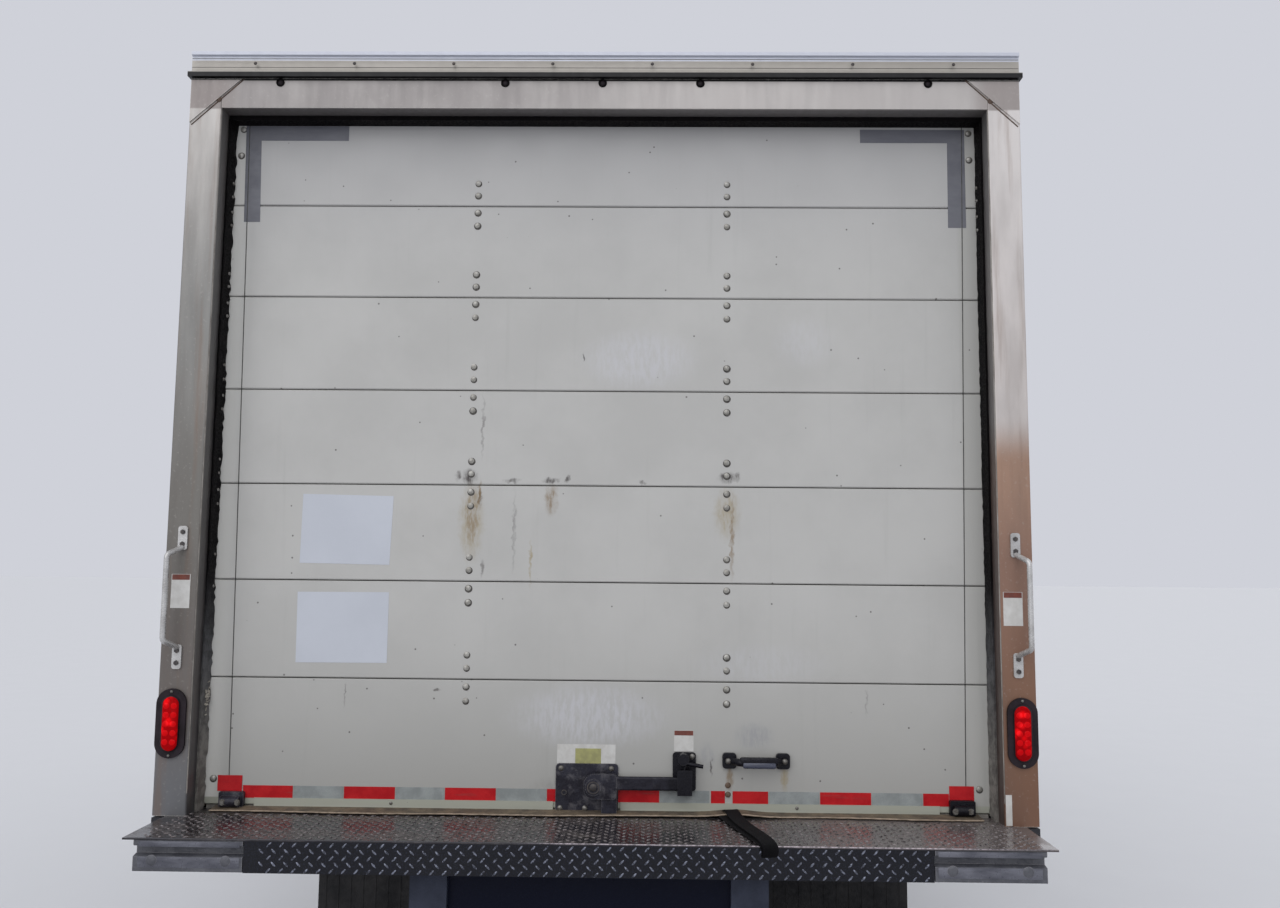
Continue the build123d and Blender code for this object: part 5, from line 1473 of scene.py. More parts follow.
@dataclass
class Doorway:
    """The steel doorway's lamps, screws, gusset seams, decals and torn seals."""

    lamps: tuple[float, ...] = (1.013, 0.305, 0.0, -0.305, -1.013)
    lamp_z: float = 3.357
    grommet: Outline = ((0.0075, -0.002), (0.0135, -0.002), (0.0135, 0.002), (0.0120, 0.004), (0.0095, 0.004),
                        (0.0075, 0.001))
    cap_x: float = -4.6572
    cap_screws: tuple[float, ...] = (1.09, 0.778, 0.466, 0.156, -0.155, -0.467, -0.778, -1.09)
    post_edge: float = 1.1955
    jamb_x: float = -4.551
    jamb_bolts: tuple[tuple[float, ...], ...] = (
        (1.1835, 3.063, 3.019, 2.968, 2.925, 2.768, 2.726, 2.673, 2.631),
        (1.186, 2.474, 2.429, 2.377, 2.334, 1.783), (1.186, 2.176, 2.133, 2.081, 2.037, 1.881),
        (-1.1835, 3.057, 3.015, 2.963, 2.920))
    lip_foot: Place = (-4.587, 1.1890, 1.122)
    lip_reach: float = 0.0495
    lip_height: float = 2.138
    wall: float = 0.002
    crumbs: int = 26
    foam_spot: Place = (-4.556, 1.1845, 1.45)
    sill_foot: tuple[float, float] = (-4.5365, 1.1222)
    sill_width: float = 2.30

    def trim(self) -> None:
        """Sets the header's dark lamps and the cap's screws and lines, and edges the gussets and posts."""
        grommets, lenses = Shape(), Shape()
        for y in self.lamps:
            seat = on_rear(y, self.lamp_z, REAR_FACE)
            grommets.lathe(self.grommet, seat, 20, True)
            lenses.dome(seat, 0.0085, 0.0025)
        grommets.piece("header_grommets", Paint.SEAL, "black_rubber")
        lenses.piece("header_lenses", Paint.LAMP_RUBBER, "black_hardware")
        screws = [on_rear(y, 3.414, self.cap_x - 0.0003) for y in self.cap_screws]
        Shape().stamp(round_head(0.0055, 0.003, 10), screws).piece("cap_screws", Paint.DARK_BOLT, "cap_metal")
        lines = Shape()
        for z, radius in ((3.429, 0.0010), (3.401, 0.0008)):
            lines.pipe([(self.cap_x, y, z) for y in (-1.29, 1.29)], radius, 6, False)
        lines.piece("cap_lines", Paint.SEAM, "cap_metal")
        seams, edges = Shape(), Shape()
        for sign in (1, -1):
            slope = [(REAR_FACE, sign * y, z) for y, z in ((1.288, 3.219), (1.1285, 3.3675))]
            seams.pipe(slope, 0.0020, 8, False).dome(on_rear(sign * 1.205, 3.301, REAR_FACE), 0.009, 0.003)
            upright = [(REAR_FACE + 0.001, sign * self.post_edge, z) for z in (1.18, 3.27)]
            edges.pipe(upright, 0.0018, 6, False)
        seams.piece("gusset_seams", Paint.WELD, "doorway_steel")
        edges.piece("post_edges", Paint.LIGHT_EDGE, "doorway_steel")

    def decals(self) -> None:
        """Sticks the blank decals on the two posts."""
        plates, bands = Shape(), Shape()
        for y, z in (((1.216, 1.273), (1.719, 1.820)), ((-1.205, -1.262), (1.691, 1.790)),
                     ((-1.198, -1.216), (1.118, 1.205))):
            plates.join(label(y, z, REAR_FACE, 0.0008))
        for y, z in (((1.218, 1.271), (1.803, 1.819)), ((-1.207, -1.260), (1.773, 1.789))):
            bands.join(label(y, z, REAR_FACE, 0.0012))
        plates.piece("post_decals", Paint.LABEL, "doorway_steel")
        bands.piece("post_decal_bands", Paint.LABEL_RED, "doorway_steel")

    def lips(self, chance: random.Random) -> None:
        """Hangs the side seals' ragged lips, and sets the bolts in the jambs beside them.

        Args:
            chance: Where the tears' sizes are drawn.
        """
        lips = Shape()
        for sign in (1, -1):
            lip = Shape()
            bmesh.ops.create_grid(lip.bm, x_segments=3, y_segments=150, size=0.5)
            for vert in lip.bm.verts:
                near = vert.co.x + 0.5
                torn = chance.uniform(-0.003, 0.004) if near > 0.9 else chance.uniform(0.0, 0.0012)
                back = chance.uniform(0.0, 0.005) if near < 0.1 else 0.0
                across = self.lip_foot[1] - 0.0035 * near + torn * (1.0 if sign > 0 else 0.4)
                rise = self.lip_height * (vert.co.y + 0.5)
                vert.co = (self.lip_foot[0] - back + self.lip_reach * near, sign * across,
                           self.lip_foot[2] + rise)
            lips.join(lip.thicken(self.wall))
        lips.piece("seal_lips", Paint.SEAL, "black_rubber", crease=60)
        heads = [facing((self.jamb_x, y, z), (-1, -y, 0)) for y, *heights in self.jamb_bolts for z in heights]
        Shape().stamp(round_head(0.0055, 0.0042), heads).piece("jamb_bolts", Paint.BOLT, "doorway_steel")

    def foam(self, chance: random.Random) -> None:
        """Leaves a tuft of torn foam on the left seal.

        Args:
            chance: Where the crumbs' sizes and places are drawn.
        """
        x, y, z = self.foam_spot
        foam = Shape()
        for _ in range(self.crumbs):
            size = chance.uniform(0.004, 0.008)
            crumb = Shape()
            bmesh.ops.create_icosphere(crumb.bm, subdivisions=1, radius=1.0)
            for vert in crumb.bm.verts:
                vert.co *= chance.uniform(0.6, 1.25)
            turned = Matrix.Rotation(chance.uniform(0, 3), 4, (1, 0, 0))
            grown = Matrix.Diagonal((0.6 * size, 0.5 * size, size * chance.uniform(0.8, 2.2), 1))
            place = (x + chance.uniform(-0.012, 0.012), y, z + chance.gauss(0, 0.016))
            foam.stamp(crumb, [Matrix.Translation(place) @ turned @ grown])
        foam.piece("seal_foam", Paint.FOAM, "black_rubber", crease=20)

    def sill(self, chance: random.Random) -> None:
        """Lays the muddy strip on the sill under the door, with its frayed edge, whose paler tan is a painted
        highlight.

        Args:
            chance: Where the fraying is drawn.
        """
        sill, edge = Shape(), []
        bmesh.ops.create_grid(sill.bm, x_segments=150, y_segments=4, size=0.5)
        for vert in sill.bm.verts:
            out, y = 0.5 - vert.co.y, vert.co.x * self.sill_width
            swell = 0.008 * math.exp(-((y + 0.42) / 0.07) ** 2)
            reach = chance.uniform(0.0, 0.004) if out > 0.9 else 0.0
            reach += 0.052 + 0.008 * math.sin(3.1 * y) + 0.004 * math.sin(11 * y)
            vert.co = (self.sill_foot[0] - reach * out, y, self.sill_foot[1] + swell - 0.0035 * out)
            if out > 0.9:
                edge.append(vert.co + Vector((0, 0, 0.001)))
        sill.thicken(self.wall).piece("sill_strip", Paint.SILL, "black_rubber", crease=50)
        edge.sort(key=lambda spot: spot.y)
        # The edge bead's paler tan is a painted highlight along the rolled edge
        Shape().pipe(edge, 0.0022, 6, False).piece("sill_edge", Paint.SILL_EDGE, "black_rubber")

    def build(self) -> None:
        """Builds all the doorway's fittings."""
        self.trim()
        self.decals()
        chance = random.Random(11)
        self.lips(chance)
        self.foam(chance)
        self.sill(chance)


@dataclass
class LockSet:
    """The door hardware's bolts and rings, the lift handle's grip and the keeper's spring."""

    plate_x: float = -4.541
    raised_x: float = -4.562
    stop_x: float = -4.5712
    boss: Place = (-4.581, 0.004, 1.198)
    lift_y: tuple[float, float] = (-0.399, -0.569)
    lift_z: float = 1.277
    keyhole: Outline = ((0.0055, 0), (0.0085, 0), (0.0085, 0.003), (0.0055, 0.003))
    collar: Outline = ((0.0150, 0), (0.0185, 0), (0.0185, 0.0022), (0.0150, 0.0022))

    def build(self) -> None:
        """Builds the small parts of the door's hardware."""
        plate = ((0.104, 1.247), (-0.048, 1.247), (0.106, 1.130), (0.031, 1.130))
        bright = [on_rear(y, z, self.plate_x) for y, z in plate] + [on_rear(-0.292, 1.286, -4.543)]
        bright += [on_rear(y, self.lift_z, self.raised_x) for y in self.lift_y]
        heads = Shape().stamp(round_head(0.0085, 0.0050), bright)
        heads.piece("hardware_bolts", Paint.BOLT, "black_hardware")
        # The grip's lower half is lighter and bluish, a painted sheen; its upper back keeps the hardware's
        # black
        grip = Shape().block((-4.5905, -0.541, 1.259), (-4.5735, -0.441, 1.278), 0.006)
        grip.piece("lift_grip", Paint.GRIP, "black_hardware")
        back = Shape().block((-4.5880, -0.548, 1.268), (-4.5725, -0.432, 1.292), 0.006)
        for y in self.lift_y:
            back.rod((-4.546, y, self.lift_z), (self.raised_x, y, self.lift_z), 0.0098, 14)
        back.piece("lift_back", Paint.HARDWARE, "black_hardware")
        boss = on_rear(self.boss[1], self.boss[2], self.boss[0])
        rings = Shape().lathe(self.keyhole, on_rear(0.094, 1.176, self.plate_x), 18, True)
        rings.lathe(self.collar, boss, 28, True).dome(boss, 0.012, 0.0035, 18)
        rings.piece("lock_rings", Paint.DARK_BOLT, "black_hardware")
        stops = [on_rear(sign * y, 1.140, self.stop_x) for sign in (1, -1) for y in (1.073, 1.118)]
        Shape().stamp(hex_head(0.0075, 0.005), stops).piece("stop_bolts", Paint.BOLT, "black_hardware")
        spring = [(self.raised_x, -0.262 + 0.011 * math.cos(angle), 1.262 + 0.016 * math.sin(angle))
                  for angle in (0.2, 1.0, 1.8, 2.6, 3.4, 4.2)]
        Shape().pipe(spring, 0.003, 8).piece("keeper_spring", Paint.HARDWARE, "black_hardware")


@dataclass
class PullStrap:
    """The black webbing loop that comes from under the door and lies over the step."""

    width: float = 0.045
    thick: float = 0.0028
    start: tuple[float, float] = (-4.5365, -0.397)
    turn: float = 13.0
    rows: int = 5

    def path(self) -> list[tuple[float, float]]:
        """The loop's side view: distance from the door along the step, and height."""
        lower = [(0.004, 1.1200), (0.04, 1.1205), (0.12, 1.1192), (0.22, 1.1182), (0.32, 1.1182),
                 (0.366, 1.1192), (0.384, 1.1150), (0.390, 1.1040)]
        fold = [(0.393, 1.0935), (0.399, 1.0905), (0.404, 1.0960), (0.403, 1.1090)]
        upper = [(0.392, 1.1235), (0.340, 1.1310), (0.26, 1.1300), (0.19, 1.1285), (0.12, 1.1310),
                 (0.075, 1.1340), (0.045, 1.1385), (0.024, 1.1380), (0.009, 1.1300), (0.0045, 1.1235)]
        return lower + fold + upper

    def build(self) -> None:
        """Weaves the loop, smooths it and hides the frame's plain strap."""
        turn = Matrix.Rotation(math.radians(self.turn), 4, "Z")
        shape, line = Shape(), self.path()
        last, turned_back = len(line) - 1, 12
        bmesh.ops.create_grid(shape.bm, x_segments=last, y_segments=self.rows - 1, size=0.5)
        for vert in shape.bm.verts:
            index = round((vert.co.x + 0.5) * last)
            across, (away, height) = vert.co.y * self.width, line[index]
            skew = 0.003 * math.sin(index * 0.9) + 0.020 * max(0.0, 1 - index / 7)
            sag = -0.0012 * (1 - (2 * vert.co.y) ** 2) * (index > turned_back)
            spot = turn @ Vector((-away, across + skew, height + sag))
            vert.co = (self.start[0] + spot.x, self.start[1] + spot.y, spot.z)
        strap = shape.thicken(self.thick).piece("strap_loop", Paint.WEBBING, "webbing", crease=60)
        smooth = strap.modifiers.new("smooth", "SUBSURF")
        smooth.levels = smooth.render_levels = 2
        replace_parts(strap, "pull_strap")


@dataclass
class RearStep:
    """The step's chequer lugs, worn fold and end-block bolts."""

    pitch: float = 0.0339
    row: float = 0.0168
    half: float = 0.93
    top_half: float = 1.245
    lug: Place = (0.0105, 0.0034, 0.0021)
    lip_top: float = 1.1015
    lip_rows: int = 5
    top_rows: int = 17

    def across(self, half: float, margin: float, shift: float) -> list[float]:
        """Where one row's lugs stand across the truck.

        Args:
            half: Half the row's width.
            margin: The first lug's distance from its end.
            shift: How far the whole row is moved.

        Returns:
            The lugs' Y.
        """
        count = int(2 * (half - 0.02) / self.pitch)
        return [-half + margin + shift + self.pitch * step for step in range(count)]

    def lugs(self) -> None:
        """Raises the lugs on the lip and the tread, leaning to and fro row by row."""
        size = Matrix.Diagonal((*self.lug, 1.0))
        lip, top = [], []
        for index in range(self.lip_rows):
            odd, z = index % 2, self.lip_top - self.row * index
            for y in self.across(self.half, 0.024, self.pitch * 0.61 * odd):
                lip.append(on_rear(y, z, TAIL, -45 if odd else 45) @ size)
        for index in range(self.top_rows):
            odd, x = index % 2, TAIL + 0.018 + self.row * index
            for y in self.across(self.top_half, 0.03, self.pitch / 2 * odd):
                top.append(facing((x, y, FLOOR), (0, 0, 1), 45 if odd else -45) @ size)
        # Both lug finishes carry painted glints in their pale patches
        Shape().stamp(lug_head(), lip).piece("lip_lugs", Paint.LIP, "tread_black", crease=50)
        Shape().stamp(lug_head(), top).piece("tread_lugs", Paint.TREAD_LUG, "tread_black", crease=50)

    def ends(self) -> None:
        """Bolts the end blocks, and brightens the worn fold over the lip."""
        worn = Shape()
        for sign in (1, -1):
            for low, high in ((1.092, 1.1068), (1.0375, 1.066)):
                worn.block((TAIL + 0.001, sign * 0.936, low), (TAIL + 0.0032, sign * 1.212, high), 0.001)
        worn.piece("end_plates", Paint.END_WORN, "end_grey")
        bolts = [on_rear(sign * y, 1.0565, TAIL + 0.001) for sign in (1, -1) for y in (0.974, 1.174)]
        Shape().stamp(round_head(0.015, 0.004, 14), bolts).piece("end_bolts", Paint.END, "end_grey")
        fold = [(TAIL + 0.0010, y, FLOOR - 0.0008) for y in (-1.243, 1.243)]
        Shape().pipe(fold, 0.0016, 8, False).piece("worn_fold", Paint.FOLD, "tread_black")

    def build(self) -> None:
        """Builds the step's details."""
        self.lugs()
        self.ends()


@dataclass
class TailLamps:
    """The oval red lamps' lenses, cells and screws."""

    y: float = 1.251
    z: float = 1.382
    inset: float = 0.0025
    half: tuple[float, float] = (0.0238, 0.0785)
    steps: int = 32
    lens_x: float = -4.6605
    cell_x: float = -4.6655
    rim_x: float = -4.6555

    def build(self) -> None:
        """Builds both lamps."""
        lens, cells = Shape(), Shape()
        radius, straight = self.half[0], self.half[1] - self.half[0]
        for sign in (1, -1):
            middle, outline = sign * (self.y - self.inset), []
            for step in range(self.steps):
                angle = math.tau * step / self.steps
                height = self.z + (straight if math.sin(angle) >= 0 else -straight)
                outline.append((self.lens_x, middle + radius * math.cos(angle),
                                height + radius * math.sin(angle)))
            lens.join(Shape().plate(outline, (-0.0055, 0, 0), 0.004))
            for column in (-0.0112, 0.0112):
                for row in range(-2, 3):
                    seat = on_rear(middle + column, self.z + row * 0.0262, self.cell_x)
                    cells.dome(seat, 0.0098, 0.0022, 14)
        lens.piece("tail_lenses", Paint.RED, "red_lens", crease=50)
        cells.piece("tail_cells", Paint.RED_CELL, "red_lens", crease=50)
        screws = [on_rear(sign * self.y, self.z + rise, self.rim_x) for sign in (1, -1)
                  for rise in (0.0925, -0.0925)]
        Shape().stamp(round_head(0.0045, 0.003, 10), screws).piece("tail_screws", Paint.BOLT, "red_lens")


@dataclass
class GrabHandles:
    """The bolts in the grab handles' feet."""

    y: float = 1.244
    heights: tuple[float, ...] = (1.558, 1.594, 1.910, 1.946)

    def build(self) -> None:
        """Builds the bolts of both handles."""
        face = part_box("grab_handles")[1].x - 0.004
        places = [on_rear(sign * self.y, z, face) for sign in (1, -1) for z in self.heights]
        Shape().stamp(hex_head(0.0078, 0.006), places).piece("handle_bolts", Paint.DARK_BOLT, "doorway_steel")


class Skin:
    """The surface of some frame nodes, to lay fine pieces on."""

    def __init__(self, *nodes: str) -> None:
        """Gathers the nodes' faces.

        Args:
            nodes: The frame nodes' names.
        """
        shape = bmesh.new()
        for name in nodes:
            shape.from_mesh(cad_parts[name].data)
        self.tree = BVHTree.FromBMesh(shape)
        shape.free()

    def under(self, point: Place, direction: Place, lift: float = 0.0) -> tuple[Vector, Vector]:
        """Where a line from a point first meets the surface.

        Args:
            point: Where the line starts.
            direction: The way that it goes.
            lift: How far above the surface the result lies.

        Returns:
            The place and the way that the surface faces there.
        """
        spot, normal, _, _ = self.tree.ray_cast(Vector(point), Vector(direction).normalized())
        if spot is None:
            return Vector(point), -Vector(direction)
        outward = normal if normal.dot(Vector(direction)) < 0 else -normal
        return spot + outward * lift, outward


def rounded(corners: Outline, radius: float, steps: int = 4, run: int = 5) -> list[tuple[float, float]]:
    """A closed outline with its corners rounded and its sides divided.

    Args:
        corners: Its corners in order.
        radius: The corners' radius.
        steps: Points round each corner.
        run: Points along each side.

    Returns:
        Its points in order.
    """
    points, count = [], len(corners)
    for index in range(count):
        last, here, after = (Vector(corners[(index + k) % count]) for k in (-1, 0, 1))
        start = here + (last - here).normalized() * radius
        end = here + (after - here).normalized() * radius
        for step in range(steps + 1):
            share = step / steps
            points.append(tuple((1 - share) ** 2 * start + 2 * share * (1 - share) * here + share ** 2 * end))
        far = after + (here - after).normalized() * radius
        points += [tuple(end.lerp(far, k / run)) for k in range(1, run)]
    return points


def ring(points: Sequence[Place], radius: float) -> Shape:
    """A closed round bead through a ring of points, whose last point meets its first."""
    return Shape().pipe([*points, points[0]], radius, 6, False)


@dataclass
class Wheels:
    """The tyres with their cut tread, and the wheels' nuts, caps and valves."""

    front: Place = (3.8, 0.985, 0.465)
    twin: Place = (-2.355, 0.925, 0.465)
    outset: float = 0.150
    disc: float = 0.138
    steps: int = 120
    tread: float = 0.465
    rib: float = 0.012
    depth: float = 0.011
    front_cut: float = 0.0075
    twin_cut: float = 0.0035
    valve_x: float = 0.235
    nuts: tuple[float, int, float, float] = (0.143, 10, 0.0165, 0.026)
    front_cap: tuple[float, float, int, float, float] = (1.1635, 0.096, 6, 0.007, 0.007)
    twin_cap: tuple[float, float, int, float, float] = (1.1275, 0.108, 8, 0.009, 0.009)
    stem: Outline = ((0.045, 0.0), (0.09, 0.0), (0.12, 0.02))
    wall: Outline = (
        (0.2875, 0.096), (0.300, 0.0975), (0.303, 0.104), (0.312, 0.109), (0.334, 0.1195), (0.362, 0.1255),
        (0.392, 0.1272), (0.417, 0.1245), (0.4345, 0.1185), (0.4365, 0.1195), (0.4405, 0.117), (0.452, 0.110),
        (0.4595, 0.102), (0.4642, 0.092), (0.465, 0.088), (0.465, 0.0575), (0.452, 0.0555), (0.452, 0.0485),
        (0.465, 0.0465), (0.465, 0.0205), (0.452, 0.0185), (0.452, 0.0115), (0.465, 0.0095))

    def tyre(self, cut: float, every: int) -> Shape:
        """One tyre about the Z axis.

        Args:
            cut: The margin left round each cut in the tread.
            every: Cuts come at each of so many facets.

        Returns:
            The tyre.
        """
        profile = list(self.wall) + [(radius, -side) for radius, side in reversed(self.wall)]
        shape = Shape().lathe(profile, Matrix.Identity(4), self.steps, True)
        blocks = []
        for face in shape.bm.faces:
            middle = face.calc_center_median()
            if min(vert.co.xy.length for vert in face.verts) < self.tread - 0.0009:
                continue
            around = int((math.atan2(middle.y, middle.x) / math.tau + 0.5) * self.steps)
            if abs(middle.z) > self.rib and (around + (middle.z > 0)) % every == 0:
                blocks.append(face)
        bmesh.ops.inset_individual(shape.bm, faces=blocks, thickness=cut, depth=-self.depth)
        return shape

    def bolted(self, side: Side, place: Place, reach: float, radius: float, count: int, size: float,
               tall: float) -> Shape:
        """A ring of nuts facing outwards.

        Args:
            side: The truck's side.
            place: The wheel's middle.
            reach: The nuts' Y, on the left.
            radius: The ring's radius.
            count: How many there are.
            size: A nut's radius.
            tall: A nut's height.

        Returns:
            The nuts.
        """
        spots = []
        for index in range(count):
            angle = math.tau * index / count
            x, z = place[0] + radius * math.cos(angle), place[2] + radius * math.sin(angle)
            spots.append(facing((x, side.value * reach, z), (0, side.value, 0)))
        nut = hex_head(size, tall).rod((0, 0, 0), (0, 0, tall * 1.3), size * 0.6, 8)
        return Shape().stamp(nut, spots)

    def axle_end(self, side: Side, front: bool) -> None:
        """Builds one wheel, or one pair of twin wheels.

        Args:
            side: The truck's side.
            front: Whether it is a front wheel.
        """
        place = self.front if front else self.twin
        end, body = ("front", "front_wheel") if front else ("rear", "rear_wheels")
        word, body = f"{end}_{side.word}", f"{body}_{side.word}"
        planes = (place[1],) if front else (place[1] - self.outset, place[1] + self.outset)
        spots = [facing((place[0], side.value * y, place[2]), (0, side.value, 0)) for y in planes]
        shape = Shape().stamp(self.tyre(self.front_cut if front else self.twin_cut, 2), spots)
        finish = Paint.TYRE_FRONT if front else Paint.TYRE_REAR
        rubber = shape.piece(f"tread_tyre_{word}", finish, "tyre", body, 28)
        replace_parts(rubber, f"{end}_tyre_{side.word}")
        face = place[1] + self.outset - (0.0 if front else self.disc)
        nuts = self.bolted(side, place, face, *self.nuts)
        nuts.join(self.bolted(side, place, *(self.front_cap if front else self.twin_cap)))
        nuts.piece(f"wheel_nuts_{word}", Paint.BOLT, "cast_grey", body)
        valve = [(place[0] + self.valve_x, side.value * (planes[-1] + out), place[2] + up)
                 for out, up in self.stem]
        Shape().pipe(valve, 0.004, 8).piece(f"valve_{word}", Paint.BOLT, "cast_grey", body)

    def build(self) -> None:
        """Builds the wheels of both axles."""
        for side in Side:
            for front in (True, False):
                self.axle_end(side, front)


@dataclass
class LoadBody:
    """The load body's sheet seams, rivets and reflective rail tape."""

    face: float = 1.290
    first: float = -4.40
    pitch: float = 0.61
    seams: int = 11
    low: float = 1.165
    high: float = 3.365
    strip_half: float = 0.024
    rows: int = 30
    rail_face: float = 1.2955
    rail_rivets: int = 64
    rail_first: float = -4.48
    rail_pitch: float = 0.1
    tapes: int = 13
    tape_first: float = -4.12
    tape_pitch: float = 0.462
    tape_z: tuple[float, float] = (1.050, 1.100)
    tape_end: float = 1.62

    def sides(self) -> None:
        """Rivets the side sheets over their posts."""
        strips, rivets = Shape(), []
        for index in range(self.seams):
            x = self.first + self.pitch * index
            for sign in (1, -1):
                wall, out = sign * self.face, (0, sign, 0)
                strips.block((x - self.strip_half, wall - 0.0012, self.low),
                             (x + self.strip_half, wall + 0.0016, self.high))
                for row in range(self.rows):
                    z = self.low + 0.03 + row * (self.high - self.low - 0.06) / (self.rows - 1)
                    for shift in (-0.014, 0.014):
                        rivets.append(facing((x + shift, sign * (self.face + 0.0014), z), out))
        for sign in (1, -1):
            for index in range(self.rail_rivets):
                x = self.rail_first + index * self.rail_pitch
                for y, z in ((self.rail_face - 0.0002, 1.128), (1.2902, 3.392)):
                    rivets.append(facing((x, sign * y, z), (0, sign, 0)))
        strips.piece("side_seam_strips", Paint.BODY, "body_white")
        Shape().stamp(round_head(0.0052, 0.0022, 6), rivets).piece("side_rivets", Paint.BOLT, "body_white")

    def nose_and_roof(self) -> None:
        """Rivets the nose sheets, and seams the roof over its bows."""
        wall = Skin("body_front_wall")
        rivets, strips = [], Shape()
        for y in (-0.9, -0.3, 0.3, 0.9):
            strips.block((2.0600, y - 0.02, self.low), (2.0626, y + 0.02, self.high))
            rivets += [facing((2.0622, y + shift, 1.2 + 0.0735 * row), (1, 0, 0)) for row in range(self.rows)
                       for shift in (-0.012, 0.012)]
        for sign in (1, -1):
            for row in range(26):
                spot, way = wall.under((2.4, sign * 1.6, 1.2 + 0.085 * row), (-0.5, -sign, 0), 0.0002)
                rivets.append(facing(spot, way))
        bows, top = Shape(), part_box("body_roof")[1].z
        for index in range(self.seams):
            x = self.first + self.pitch * index
            bows.block((x - 0.02, -1.255, top - 0.002), (x + 0.02, 1.255, top + 0.0018))
            rivets += [facing((x, -1.2 + 0.12 * step, top + 0.0016), (0, 0, 1)) for step in range(21)]
        strips.piece("nose_seam_strips", Paint.BODY, "body_white")
        bows.piece("roof_seam_strips", Paint.ROOF, "body_white")
        heads = Shape().stamp(round_head(0.0052, 0.0022, 6), rivets)
        heads.piece("nose_and_roof_rivets", Paint.BOLT, "body_white")

    def rail_tape(self) -> None:
        """Sticks red and white reflective tape along both bottom rails."""
        low, high = self.tape_z
        for name, finish, shift, length in (("rail_tape_red", Paint.RED_TAPE, 0.0, 0.28),
                                            ("rail_tape_white", Paint.WHITE_TAPE, 0.282, 0.178)):
            tape = Shape()
            starts = [self.tape_first + self.tape_pitch * index + shift for index in range(self.tapes)]
            for sign in (1, -1):
                back, front = sign * (self.rail_face - 0.0004), sign * (self.rail_face + 0.0007)
                for x in starts:
                    if x + length <= self.tape_end:
                        tape.block((x, back, low), (x + length, front, high))
            tape.piece(name, finish, "body_white")

    def build(self) -> None:
        """Builds all the body's fine work."""
        self.sides()
        self.nose_and_roof()
        self.rail_tape()


@dataclass
class Seats:
    """The cab's two padded seats on their pedestals."""

    spans: tuple[tuple[str, float, float, int], ...] = (("driver", 0.190, 0.670, 3),
                                                        ("passenger", -0.790, -0.020, 5))

    def pad(self, name: str, low: Place, high: Place, lean: float, channels: int) -> None:
        """One crowned pad with sewn channels.

        Args:
            name: The piece's name.
            low: Its lowest corner.
            high: Its highest corner.
            lean: Its turn about the cross axis, in degrees.
            channels: How many rolls its channels divide it into.
        """
        first, second = Vector(low), Vector(high)
        half, middle = (second - first) / 2, (second + first) / 2
        shape = Shape()
        bmesh.ops.create_cube(shape.bm, size=2.0)
        bmesh.ops.subdivide_edges(shape.bm, edges=shape.bm.edges[:], cuts=17, use_grid_fill=True)
        turn = Matrix.Rotation(math.radians(lean), 3, "Y")
        for vert in shape.bm.verts:
            u, v, w = vert.co
            inward = 1 - 0.05 * (u * u * v * v + v * v * w * w + u * u * w * w)
            roll = 0.035 * (1 - abs(math.cos(math.pi * (v + 1) / 2 * channels))) ** 3 * (1 - u * u * 0.5)
            across = Vector((u, v, w)) * inward
            across.z *= 0.90 + 0.12 * (1 - u * u) * (1 - v * v) ** 0.5 - (roll * 2 if w > 0.9 else 0)
            across.x *= 0.96 + 0.05 * (1 - w * w)
            across.y *= 0.965 + 0.04 * (1 - w * w) * (1 - u * u)
            vert.co = middle + turn @ Vector((across.x * half.x, across.y * half.y, across.z * half.z))
        made = shape.piece(name, Paint.SEAT, "seat_cloth", crease=80)
        soft = made.modifiers.new("soft", "SUBSURF")
        soft.levels = soft.render_levels = 1

    def build(self) -> None:
        """Builds both seats, which stand for the frame's plain ones."""
        base = Shape()
        for word, near, far, channels in self.spans:
            self.pad(f"cushion_{word}", (2.372, near, 1.256), (2.898, far, 1.378), 0, channels)
            low, high = (2.338, near + 0.012, 1.372), (2.446, far - 0.012, 1.968)
            self.pad(f"backrest_{word}", low, high, -4, channels)
            base.block((2.42, near + 0.05, 1.016), (2.86, far - 0.05, 1.240), 0.012)
            base.block((2.40, near + 0.02, 1.236), (2.88, far - 0.02, 1.262), 0.008)
        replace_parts(base.piece("seat_pedestals", Paint.PLASTIC, "dash_grey"), "seats")


